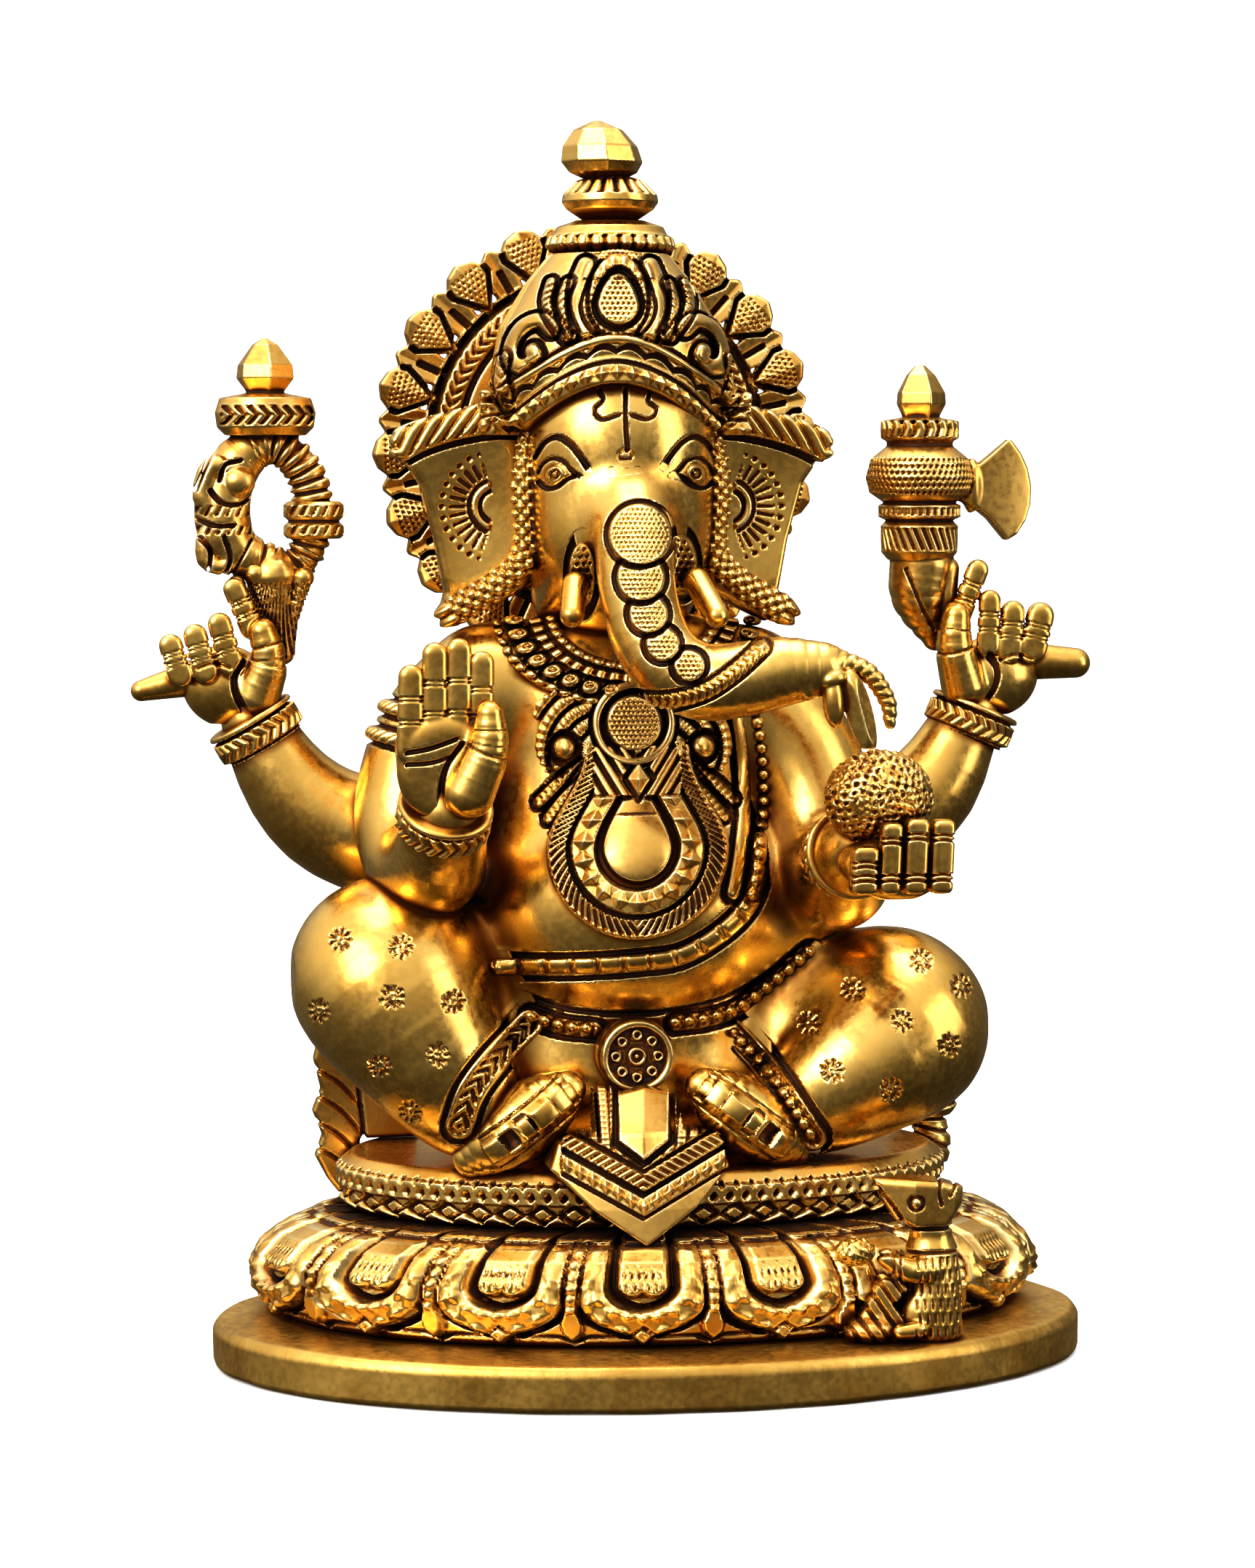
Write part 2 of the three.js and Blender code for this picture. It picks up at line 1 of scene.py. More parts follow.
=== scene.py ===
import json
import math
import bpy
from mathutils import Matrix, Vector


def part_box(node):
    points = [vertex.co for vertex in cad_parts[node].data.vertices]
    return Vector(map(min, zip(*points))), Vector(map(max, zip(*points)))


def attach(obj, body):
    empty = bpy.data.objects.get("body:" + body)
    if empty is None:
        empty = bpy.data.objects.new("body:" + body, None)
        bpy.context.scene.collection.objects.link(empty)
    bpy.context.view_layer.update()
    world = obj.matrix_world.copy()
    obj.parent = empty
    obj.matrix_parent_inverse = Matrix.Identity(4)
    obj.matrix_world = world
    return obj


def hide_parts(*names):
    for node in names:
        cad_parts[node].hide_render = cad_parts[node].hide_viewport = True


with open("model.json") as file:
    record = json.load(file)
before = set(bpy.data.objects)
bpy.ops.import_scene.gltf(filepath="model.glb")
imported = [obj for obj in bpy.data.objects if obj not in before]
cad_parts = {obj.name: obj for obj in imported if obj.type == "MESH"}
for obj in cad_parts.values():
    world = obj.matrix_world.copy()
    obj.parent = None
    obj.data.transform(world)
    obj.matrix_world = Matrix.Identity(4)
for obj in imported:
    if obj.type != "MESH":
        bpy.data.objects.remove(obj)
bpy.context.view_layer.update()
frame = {"record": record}

# A seated elephant-headed deity in antiqued brass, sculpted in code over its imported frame.
# Sculpting is in millimetres in the figure's own place: x = 0 is its centre line, it faces -Y, and right and
# left are its own. Each piece is a distance function: how far a point lies outside the brass.
from concurrent.futures import ThreadPoolExecutor

import bpy
import numpy as np
import openvdb
from mathutils import Vector

MM = 0.001
BASE_X, BASE_Y = 4.8, -8.0            # the middle of the base, from the figure's own centre
QUICK_VOXEL = 1.0
DIGITS = np.float32
THREADS = ThreadPoolExecutor(4)
CHUNK = 40000                         # points worked out at a time by one thread
BLOCK = 4                             # voxels along a side of a block
TAPS = np.array([[1, -1, -1], [-1, -1, 1], [-1, 1, -1], [1, 1, 1]], DIGITS)

plate_low, plate_high = (np.array(corner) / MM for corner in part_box("base_plate"))
plate_middle = (plate_low + plate_high) / 2
FIGURE = np.array([plate_middle[0] - BASE_X, plate_middle[1] - BASE_Y, plate_low[2]])


def room(node):
    """A CAD node's lowest and highest corner, in the figure's place."""
    return [np.array(corner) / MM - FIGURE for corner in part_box(node)]


def middle(node):
    low, high = room(node)
    return (low + high) / 2


# ---- Distances and how they join ----

def hypot(*parts):
    return np.sqrt(sum(part * part for part in parts))


def union(k, first, *others):
    """Joins shapes, with a fillet about k wide where they meet."""
    d = first
    for other in others:
        h = np.maximum(k - np.abs(d - other), 0)
        d = np.minimum(d, other) - h * h / (4 * k)
    return d


def meet(k, first, *others):
    """What shapes have in common, with edges rounded by about k."""
    return -union(k, -first, *(-other for other in others))


def cut(d, tool, k=0.3):
    return meet(k, d, -tool)


def turned(x, z, degrees):
    """Coordinates in axes turned from the first towards the second."""
    c, s = math.cos(math.radians(degrees)), math.sin(math.radians(degrees))
    return c * x + s * z, c * z - s * x


def ball(p, centre, radii, tilt=0):
    """An ellipsoid, tilted about Y by a number of degrees from X towards Z."""
    x, y, z = (p[i] - centre[i] for i in range(3))
    if tilt:
        x, z = turned(x, z, tilt)
    near = hypot(x / radii[0], y / radii[1], z / radii[2])
    slope = hypot(x / radii[0] ** 2, y / radii[1] ** 2, z / radii[2] ** 2)
    return near * (near - 1) / np.maximum(slope, 1e-4)


def spline(stations, steps=3):
    """Points on a smooth curve through the stations, whose rows may hold a radius too."""
    s = np.array(stations, float)
    s = np.vstack([2 * s[0] - s[1], s, 2 * s[-1] - s[-2]])
    t = (np.arange(steps) / steps)[:, None]
    spans = [
        b + 0.5 * ((c - a) * t + (2 * a - 5 * b + 4 * c - d) * t ** 2 + (3 * b - a - 3 * c + d) * t ** 3)
        for a, b, c, d in zip(s[:-3], s[1:-2], s[2:-1], s[3:])
    ]
    return np.vstack([*spans, s[-2:-1]]).astype(DIGITS)


def tube(p, path, full=False):
    """A round limb along a path of x, y, z, radius. In full: also the length along it and the side in XZ."""
    best, at, side = np.full(p.shape[1], 1e3, DIGITS), 0.0, 0.0
    start = 0.0
    for a, b in zip(path[:-1], path[1:]):
        along, r0, r1 = (b - a)[:3], a[3], b[3]
        span = float(np.sqrt(along @ along))
        x, y, z = (p[i] - a[i] for i in range(3))
        t = np.clip((x * along[0] + y * along[1] + z * along[2]) / span ** 2, 0, 1)
        d = hypot(x - t * along[0], y - t * along[1], z - t * along[2]) - (r0 + (r1 - r0) * t)
        if full:
            nearer = d < best
            at = np.where(nearer, start + t * span, at)
            side = np.where(nearer, (x * along[2] - z * along[0]) / span, side)
        best = np.minimum(best, d)
        start += span
    return (best, at, side) if full else best


def limb(p, *stations):
    """A limb along a smooth curve through its stations."""
    return tube(p, spline(stations))


def rod(p, start, end):
    """A straight limb from one station to another."""
    return tube(p, np.array([start, end], DIGITS))


def smooth_limb(path, soft=0.8):
    """A limb whose stretches melt into one another, so that no crease shows at a bend."""
    def form(p):
        parts = [tube(p, path[k:k + 2]) for k in range(len(path) - 1)]
        nearest = np.minimum.reduce(parts)
        total = sum(np.exp((nearest - part) / soft) for part in parts)
        return nearest - soft * np.log(total) + soft
    return form


def lathe(p, x, y, profile):
    """A piece turned about an upright line. Its outline is [radius, height] from the bottom up."""
    r = hypot(p[0] - x, p[1] - y)
    return polygon(r, p[2], [(-9, profile[0][1]), *profile, (-9, profile[-1][1])])


def polygon(u, v, corners):
    """The distance to a flat outline, below zero inside."""
    best = np.full(u.shape, 1e6, DIGITS)
    inside = np.zeros(u.shape, bool)
    for (u0, v0), (u1, v1) in zip(corners, [*corners[1:], corners[0]]):
        du, dv = u1 - u0, v1 - v0
        x, y = u - u0, v - v0
        t = np.clip((x * du + y * dv) / (du * du + dv * dv), 0, 1)
        best = np.minimum(best, (x - t * du) ** 2 + (y - t * dv) ** 2)
        crosses = (v0 <= v) != (v1 <= v)
        if dv:
            inside ^= crosses & (x < y * du / dv)
    return np.where(inside, -1, 1) * np.sqrt(best)


# ---- Relief: heights in mm over a surface, drawn with strokes, beads and ribs ----

def relieved(d, p, height, reach=3.0):
    """Raises a surface by a height that is only worked out close to it."""
    near = np.abs(d) < reach
    out = d.astype(DIGITS)
    if near.any():
        out[near] -= height(*p[:, near])
    return out


def trace(u, v, points, steps=4):
    """How far a point is from a drawn line, and how far along the line that is."""
    line = spline(points, steps)
    q, along = np.full(u.shape, 9.0, DIGITS), np.zeros(u.shape, DIGITS)
    low, high = line.min(0) - 3, line.max(0) + 3
    near = (u > low[0]) & (u < high[0]) & (v > low[1]) & (v < high[1])
    if not near.any():
        return q, along
    x, y = u[near], v[near]
    best, at, start = np.full(x.shape, 81.0, DIGITS), np.zeros(x.shape, DIGITS), 0.0
    for a, b in zip(line[:-1], line[1:]):
        step = b - a
        span2 = float(step @ step) + 1e-9
        t = np.clip(((x - a[0]) * step[0] + (y - a[1]) * step[1]) / span2, 0, 1)
        d = (x - a[0] - t * step[0]) ** 2 + (y - a[1] - t * step[1]) ** 2
        at = np.where(d < best, start + t * math.sqrt(span2), at)
        best = np.minimum(best, d)
        start += math.sqrt(span2)
    q[near], along[near] = np.sqrt(best), at
    return q, along


def line(u, v, points, half=0.35, depth=0.5):
    """An engraved line."""
    return groove(trace(u, v, points)[0], half, depth)


def groove(q, half, depth):
    return -depth * np.clip(1 - (q / half) ** 2, 0, 1)


def ridge(q, half, height):
    return height * np.sqrt(np.clip(1 - (q / half) ** 2, 0, 1))


def plateau(q, height, edge=0.3):
    """A raised field where q is below zero, with a sloping edge."""
    t = np.clip(0.5 - q / (2 * edge), 0, 1)
    return height * t * t * (3 - 2 * t)


def cell(u, pitch):
    return u - pitch * np.round(u / pitch)


def ribs(u, pitch, depth, sharp=1.0):
    """Cuts across a band, one to a pitch."""
    return -depth * (0.5 + 0.5 * np.cos(2 * math.pi * u / pitch)) ** sharp


def beads(u, v, pitch, radius, height=None):
    return ridge(hypot(cell(u, pitch), v), radius, height or radius)


def lozenges(u, v, pitch, half, height):
    return height * np.clip(1 - np.abs(cell(u, pitch)) / (pitch / 2) - np.abs(v) / half, 0, 1)


def share(whole, own, other, reach=1.5, sink=0.08):
    """Own part of two pieces that flow into each other. Past the seam it sinks under the other."""
    past = (own - other) / 2
    return np.maximum(whole + sink * np.clip(past / reach, 0, 1), past - reach)


# ---- From distances to meshes ----

def evaluate(shape, points):
    parts = np.array_split(points, max(1, points.shape[1] // CHUNK), axis=1)
    return np.concatenate(list(THREADS.map(shape, parts)))


def surface(shape, low, high, voxel):
    """Points and quads where the distance is zero. Only the blocks near the surface are worked out finely."""
    size = voxel * BLOCK
    count = np.ceil((high - low) / size).astype(int)
    axes = [low[i] + size * (np.arange(count[i]) + 0.5) for i in range(3)]
    centres = np.stack(np.meshgrid(*axes, indexing="ij")).reshape(3, -1).astype(DIGITS)
    rough = evaluate(shape, centres)
    near = np.flatnonzero(np.abs(rough) < 0.87 * size + 1.0)
    far = 4 * voxel
    blocks = np.empty((count[0], BLOCK, count[1], BLOCK, count[2], BLOCK), DIGITS)
    blocks[:] = np.where(rough > 0, far, -far).reshape(count[0], 1, count[1], 1, count[2], 1)
    steps = ((np.arange(BLOCK) + 0.5 - BLOCK / 2) * voxel).astype(DIGITS)
    inner = np.stack(np.meshgrid(steps, steps, steps, indexing="ij")).reshape(3, -1)
    points = (centres[:, near][:, :, None] + inner[:, None, :]).reshape(3, -1)
    i, j, k = np.unravel_index(near, tuple(count))
    fine = evaluate(shape, points).reshape(-1, BLOCK, BLOCK, BLOCK)
    blocks[i, :, j, :, k, :] = np.clip(fine, -far * 0.99, far * 0.99)
    grid = openvdb.FloatGrid(far)
    grid.copyFromArray(blocks.reshape(count * BLOCK))
    found, quads = grid.convertToQuads(0.0)
    return (found * voxel + low + voxel / 2).T.astype(DIGITS), quads


def tapped(shape, points, step):
    """The mean distance round each point, and the unit normal and slope there."""
    taps = points[:, None, :] + step * TAPS.T[:, :, None]
    d = evaluate(shape, taps.reshape(3, -1)).reshape(4, -1)
    normal = TAPS.T @ d
    size = np.maximum(hypot(*normal), 1e-6)
    return d.mean(0), normal / size, size / (4 * step)


def sculpted(shape, low, high, voxel):
    """Points drawn onto the true surface, quads, and the surface's own normals."""
    points, quads = surface(shape, low, high, voxel)
    mean, normal, slope = tapped(shape, points, 0.35 * voxel)
    points -= normal * np.clip(mean / np.maximum(slope, 0.4), -0.6 * voxel, 0.6 * voxel)
    normal = tapped(shape, points, 0.5 * voxel)[1]
    return points, quads, normal


# ---- The figure's parts: flesh, then what it wears and holds ----

# Ornaments are laid on from a little to the figure's right, and from above.
SLANT, DROP = 0.158, 0.074
HEAD_X = 0.4                          # the middle of the skull
FACE_X = -0.8                         # the middle of the face at the front of the head


def facing(x, y, z, depth):
    """Across and up on a front surface whose middle is at this depth."""
    return x - SLANT * (y - depth), z + DROP * (y - depth)


REAR = float(middle("rear_right_bangle")[1])      # the plane of the rear arms and of what they hold
RIGHT_LEG = spline([(-12, 6, 47, 13), (-26, -2, 55, 15), (-36.8, -9, 62.4, 15.4), (-37.2, -14, 60, 14.8),
                    (-31, -18, 50, 11.6), (-26, -18, 42, 8.6)])
LEFT_LEG = spline([(14, 6, 45, 13), (29, -2, 48.8, 13.6), (42.2, -8, 53.6, 14.8), (44.8, -13, 51.8, 14.2),
                   (36.4, -18, 46.4, 11.4), (28, -18, 41, 8.6)])
REAR_RIGHT_ARM = spline([(-18, REAR, 88.4, 10), (-33, REAR, 82.8, 9.8), (-43.6, REAR, 84.6, 9),
                         (-51.4, REAR, 91, 7.6), (-57.8, REAR, 102, 5.6)])
REAR_LEFT_ARM = spline([(20, REAR, 89.6, 10), (36, REAR, 83.4, 9.6), (46.6, REAR, 84.2, 8.8),
                        (55, REAR, 90, 7.8), (61.5, REAR, 102, 5.6)])
FRONT_RIGHT_ARM = spline([(-21, 0, 108, 10), (-29, -2, 99, 10), (-33, -5, 88, 9.4), (-32.5, -10, 80.5, 8.6),
                          (-31, -18, 80.5, 7.8), (-30.5, -24, 85, 6.8), (-30.3, -28, 90, 5.6)])
FRONT_LEFT_ARM = spline([(23, 0, 107, 10), (30.5, -3, 96, 9.6), (34, -7, 84, 9.4), (34, -13, 77.4, 8.6),
                         (34, -20, 78.4, 7.6), (34, -26, 81.6, 6.4), (35, -31, 84, 5.4)])
TRUNK = spline([(0.3, -14, 137, 6.6), (0.3, -20, 132, 6.4), (0, -25, 124.6, 6), (1.2, -27.8, 117.6, 6),
                (4, -30, 112.4, 6), (9, -32, 109.6, 6), (15, -34, 110, 5.8), (21, -35, 111.2, 5.4),
                (27, -35.8, 111.6, 4.2)])


def torso_form(p):
    return union(7, ball(p, (1, 3, 47), (30, 22, 18)), ball(p, (2, -3, 73), (26, 24, 24)),
                 ball(p, (1, 1, 97), (22, 17, 20)), ball(p, (1, 3, 107.5), (29, 13, 12)),
                 ball(p, (26, -3, 68), (10, 11, 7)))


def skull_form(p):
    balls = [((-2, 140), (15.6, 17, 16)), ((-4.6, 149.6), (14.4, 14, 12)),
             ((-6, 130), (13.6, 13.5, 12.5)), ((2, 122), (13, 11, 9))]
    return union(6, *(ball(p, (HEAD_X, *place), radii) for place, radii in balls))


def flowing(own, *others, k=5):
    """A body part whose surface runs on smoothly into its neighbours'."""
    def form(p):
        mine = own(p)
        rest = np.minimum.reduce([other(p) for other in others])
        return share(union(k, mine, rest), mine, rest)
    return form


# ---- Body ----

def torso_relief(x, y, z):
    u, v = facing(x, y, z, -25)
    # The belt round the belly, and the beaded strings under it.
    q, s = trace(u, v, [(-23, 64.6), (-16, 64.6), (-9.3, 64.7), (-0.3, 65.2), (6.9, 66.1), (13.2, 69.4),
                        (17.7, 73.5), (19.5, 78), (20, 84)])
    h = groove(np.abs(q - 1.8), 0.55, 0.9) + ridge(q, 1.6, 1.1) + np.where(q < 1.3, ribs(s, 4.2, 0.6, 9), 0)
    for points in ([(6.3, 55.2), (12, 55.8), (18, 58), (28, 66)], [(-17, 56.6), (-12, 55), (-6.6, 54.4)]):
        q, s = trace(u, v, points)
        h = h + beads(s, q, 2.3, 1.15) + groove(np.abs(q - 1.7), 0.45, 0.8)
    # The crease under the belly, and a plain and a beaded strap down the left side of the chest.
    h = h + line(u, v, [(-20, 60.5), (-10, 57.6), (2, 57), (14, 59), (24, 64)], 0.6, 0.9)
    for across, beaded in ((16.6, False), (19.8, True)):
        q, s = trace(u, v, [(across - 1, 107), (across + 0.6, 98), (across + 0.8, 88), (across - 1.2, 76)])
        h = h + (beads(s, q, 2.1, 1.0) if beaded else ridge(q, 1.2, 0.9)) + groove(np.abs(q - 1.6), 0.4, 0.8)
    # Ribbed plumes that spread from under the chest jewel.
    for k in range(3):
        for side in (-1, 1):
            q, s = trace(u, v, [(side * 7.6, 97 - k), (side * (11.5 - k), 94.4 - 2 * k),
                                (side * (15.6 - 1.6 * k), 90.6 - 2.6 * k)])
            h = h + ridge(q, 1.0, 0.9) + np.where(q < 1, ribs(s, 1.1, 0.35), 0) + groove(q - 1.25, 0.35, 0.8)
    return np.where(y < 4, h, 0)


KNEE_FLOWERS = [(-46.5, 69.5), (-36.8, 68.4), (-38, 60.7), (-49.9, 58.4), (-28.6, 59.8), (-40.2, 49.9),
                (-31, 51.5), (-35.5, 42.5), (35.1, 60), (46.2, 64.5), (52.7, 60.3), (42.6, 55.3),
                (28.1, 54.6), (31.4, 47.6), (50.3, 51.2), (40.8, 44.5)]
FLOWER_RAYS = 9


def leg_relief(x, y, z):
    """Stamped flowers on the cloth over the knees."""
    u, v = facing(x, y, z, -24)
    h = 0
    for place in KNEE_FLOWERS:
        q, a = hypot(u - place[0], v - place[1]), np.arctan2(v - place[1], u - place[0])
        dashes = groove(cell(a, 2 * math.pi / FLOWER_RAYS) * q, 0.26, 0.5) * ((q > 0.75) & (q < 1.8))
        h = h + np.where(q < 2, dashes + groove(q, 0.35, 0.4), 0)
    return np.where(y < -8, h, 0)


RIGHT_ANKLE = [(-28.4, 40.5), (-26.4, 46), (-22.5, 51), (-17.5, 55.8)]
LEFT_ANKLE = [(13.8, 55), (20.6, 47.6), (27.8, 37)]


def anklet(path_points, beaded):
    """The relief of a leg with a string of beads, or a twisted band, round its ankle."""
    def relief(x, y, z):
        u, v = facing(x, y, z, -28)
        q, s = trace(u, v, path_points)
        if beaded:
            h = beads(s, q, 2.0, 1.0) + ridge(np.abs(q - 1.7), 0.45, 0.6)
        else:
            h = np.where(q < 1.4, 0.5 + ribs(s + 1.3 * q, 2.0, 0.8, 2), 0) + ridge(np.abs(q - 1.8), 0.5, 0.8)
        return leg_relief(x, y, z) + np.where(y < -8, h + groove(np.abs(q - 2.7), 0.5, 0.9), 0)
    return relief


def foot_form(side):
    """A foot on its side: a leaf-shaped pad, its toes cut along the middle. Side is -1 for the right foot."""
    path = spline([(side * 25.5, -21.6, 34.6, 3.2), (side * 21, -23.2, 37.8, 5.2),
                   (side * 15.8, -23.8, 41.8, 5.6), (side * 10.8, -23.6, 45.4, 3.0)])

    def form(p):
        d, at, lean = tube(p, path, full=True)
        toe = at + 0.25 * lean ** 2 / 2.4
        toes = 1.0 * np.abs(np.cos(math.pi * toe / 3.1)) - 0.2 + groove(cell(toe - 1.55, 3.1), 0.45, 1.3)
        toes = toes * np.clip(2.4 - np.abs(lean), 0, 1) * np.clip(at - 4, 0, 1) * np.clip(17 - at, 0, 1)
        edge = groove(np.abs(lean) - 2.9, 0.3, 0.3) * ((at > 4.4) & (at < 17))
        return np.where(p[1] < -24, d - toes - edge, d)
    return form


# ---- Base ----

def oval(x, y, centre, a, b):
    """Distance from an oval seen from above, and the place round it in mm and as a share of a turn."""
    u, v = (x - centre[0]), (y - centre[1])
    near = hypot(u / a, v / b)
    d = near * (near - 1) / np.maximum(hypot(u / a ** 2, v / b ** 2), 1e-3)
    turn = np.linspace(0, 2 * math.pi, 241)
    step = hypot(np.diff(a * np.sin(turn)), np.diff(b * np.cos(turn)))
    length = np.concatenate([[0], np.cumsum(step)])
    angle = np.arctan2(u / a, -v / b) % (2 * math.pi)
    return d, np.interp(angle, turn, length).astype(DIGITS), length[-1]


PLATE_LOW, PLATE_HIGH = room("base_plate")
LOTUS_LOW, LOTUS_HIGH = room("lotus_base")
SEAT_LOW, SEAT_HIGH = room("seat_cushion")
# Outlines of the base, from the bottom up: each point is a share of the half-width and of the height.
PLATE_SHARE = [(0.995, 0), (1, 0.1), (1, 0.8), (0.985, 1)]
SEAT_SHARE = [(0.97, 0), (1, 0.12), (1, 0.8), (0.96, 1)]
LOTUS_SHARE = [(0.955, 0), (0.985, 0.14), (1, 0.35), (0.985, 0.6), (0.93, 0.82), (0.82, 1)]
PETALS, PETAL_START = 15, 6.9          # and how far round from its middle the front petal is, in mm
HOLLOW_X, HOLLOW_Y = 5, 2              # the middle of the hollow under the base
HOLLOW_A, HOLLOW_B = 52.5, 26.5        # its half-width and half-depth
HOLLOW_TOP = 18.5


def drum(low, high, profile):
    """An oval drum in a box. The profile is shares of the half-width and of the height."""
    centre, half, tall = (low + high) / 2, (high - low) / 2, high[2] - low[2]
    shares, heights = np.array(profile, DIGITS).T

    def form(p):
        share_here = np.interp(p[2], low[2] + heights * tall, shares).astype(DIGITS)
        near = hypot((p[0] - centre[0]) / half[0], (p[1] - centre[1]) / half[1])
        slope = hypot((p[0] - centre[0]) / half[0] ** 2, (p[1] - centre[1]) / half[1] ** 2)
        side = near * (near - share_here) / np.maximum(slope, 1e-3)
        return meet(0.6, side * 0.85, low[2] - p[2], p[2] - high[2])
    return form


def hollowed(form):
    """The casting is open underneath, as in its CAD."""
    def open_form(p):
        near = hypot((p[0] - HOLLOW_X) / HOLLOW_A, (p[1] - HOLLOW_Y) / HOLLOW_B)
        slope = hypot((p[0] - HOLLOW_X) / HOLLOW_A ** 2, (p[1] - HOLLOW_Y) / HOLLOW_B ** 2)
        narrowing = np.interp(p[2], [7, 19], [1, 0.84]).astype(DIGITS)
        hollow = np.maximum(near * (near - narrowing) / np.maximum(slope, 1e-3) * 0.85, p[2] - HOLLOW_TOP)
        return cut(form(p), hollow, 0.4)
    return open_form


def lotus_relief(x, y, z):
    """A ring of petals, each with a border, a dished middle and a leaf, and a beaded strip between two."""
    centre, half = (LOTUS_LOW + LOTUS_HIGH) / 2, (LOTUS_HIGH - LOTUS_LOW) / 2
    _, s, length = oval(x, y, centre, half[0], half[1])
    pitch = length / PETALS
    top = LOTUS_HIGH[2]
    u = np.abs(cell(s + PETAL_START, pitch))
    below = np.maximum(15 - z, 0)
    # A petal's lower end is a drawn-out point.
    outer = hypot(u + 6, below * 2.5) - 15.6 - 3.2 * np.clip(1 - u / 2.6, 0, 1) ** 2
    inner = hypot(u + 1, np.maximum(17.4 - z, 0) * 1.7) - 6.1
    lobe = hypot(np.abs(u - 1.7), np.maximum(17.6 - z, 0) * 1.15) - 2.2
    between = np.minimum(-outer, inner - 0.6)
    round_it = np.arctan2(u, below + 3) * 9 + np.maximum(z - 15, 0)
    border = np.clip(between / 1.2, 0, 1)
    h = plateau(outer, 1.0, 0.4) + 0.5 * border * (2 - border)
    h = h + np.where(between > 0.2, lozenges(round_it, between - 1.7, 3.6, 1.6, 0.6), 0)
    h = h + groove(inner, 0.8, 1.7) - plateau(inner, 1.1, 0.3) + plateau(lobe, 1.3, 0.6)
    ticks = groove(hypot(cell(u + 0.55 * np.round(z / 1.7), 1.1) / 0.6, cell(z, 1.7) / 1.7), 0.45, 0.5)
    h = h + np.where((lobe < -0.5) & (z < 20), ticks, 0)
    w = np.abs(u - pitch / 2)
    strip = w - np.interp(z, [8.4, 10, 11.4, 13.4, 20], [0, 1.5, 1.7, 1.0, 1.2]).astype(DIGITS)
    h = h + plateau(strip, 1.0, 0.3) + np.where((strip < 0) & (z > 13.4), beads(z, w, 1.7, 0.9, 0.5), 0)
    moat = (outer > 0) & (strip > 0) & (z > 9)
    h = h + np.where(moat, groove(np.maximum(outer - 0.7, 0), 1.0, 1.7), 0)
    foot = z - (LOTUS_LOW[2] + 0.6) - 1.8 * np.clip(1 - u / 2.4, 0, 1) + 1.0 * np.clip(1 - w / 2.4, 0, 1)
    h = h + groove(foot - 1.1, 0.4, 0.6) * (strip > 0)
    return np.where(z < top - 0.2, h + groove(z - top + 0.8, 0.5, 0.9), 0)


def cushion_relief(x, y, z):
    """A row of diamonds, with two rows of notches over it."""
    centre, half = (SEAT_LOW + SEAT_HIGH) / 2, (SEAT_HIGH - SEAT_LOW) / 2
    _, s, length = oval(x, y, centre, half[0], half[1])
    small, large = length / round(length / 2.6), length / round(length / 5.2)
    low = SEAT_LOW[2]
    diamond = (np.abs(cell(s, large)) / 2.2 + np.abs(z - (low + 2.1)) / 1.5 - 1) * 1.25
    h = groove(diamond, 0.4, 0.8) - plateau(diamond, 0.4, 0.2)
    notch = np.abs(cell(s + small / 2, small)) * 1.2 + np.abs(z - (low + 4.9))
    h = h + np.where(np.abs(z - (low + 5.2)) < 1.5, 0.5, 0) + groove(notch, 0.9, 1.3)
    notch = np.abs(cell(s, small)) * 1.2 + np.abs(z - (low + 6.7))
    return h + groove(notch, 0.7, 0.9)


# ---- Head ----

def circle_line(u, v, x, z, r, half=0.3, depth=0.4):
    return groove(hypot(u - x, v - z) - r, half, depth)


def head_relief(x, y, z):
    u, v = facing(x, y, z, -19)
    u = u - FACE_X
    a = np.abs(u)
    # The mark on the forehead: a line with a ring at its foot, three short bars, and a curl on each side.
    h = line(u, v, [(0, 155), (0, 150), (0.3, 145.4)], 0.42, 0.8) + circle_line(a, v, 0.2, 144.5, 0.75)
    for k in range(3):
        bar = [(-2.1, 142.2 - 1.6 * k), (0, 141.9 - 1.6 * k), (2.1, 142.2 - 1.6 * k)]
        h = h + line(u, v, bar, 0.36, 0.65)
    curl = [(4.2, 155), (3.6, 153.3), (4.8, 152), (4.6, 150.8), (3.3, 150.2), (0.9, 150.9)]
    h = h + line(a, v, curl, 0.36, 0.6)
    # The eye: its ball and pupil, the lid over it, the line under it and a thick brow.
    r = hypot(a - 11.3, (v - 141.9) * 1.1)
    h = h + ridge(r, 1.55, 0.7) + circle_line(a, v, 11.3, 141.9, 0.62, 0.24, 0.6)
    lid = [(14, 142.4), (13.2, 143.7), (11.6, 144.5), (9.8, 143.8), (8.4, 142.2), (7.2, 141.4)]
    under = [(14, 141), (12.6, 139.9), (10.8, 140), (9.2, 141.1), (8, 141.5)]
    brow = [(14.4, 145), (13, 147), (11, 147.8), (9, 146.7), (7.4, 144.8), (6, 142.7)]
    for points, half, depth in ((lid, 0.32, 0.6), (under, 0.42, 0.8), (brow, 0.5, 0.9)):
        h = h + line(a, v, points, half, depth)
    # The grained fold round the root of each tusk.
    for cx, cz, rx, rz in TUSK_FOLDS:
        q = (hypot((u - cx) / rx, (v - cz) / rz) - 1) * rx
        h = h + plateau(q, 1.0, 0.5) + np.where(q < -0.2, stipple(u, v, 1.1, 0.5), 0)
        h = h + groove(q - 0.5, 0.5, 1.0)
    return np.where(y < 0, h, 0)


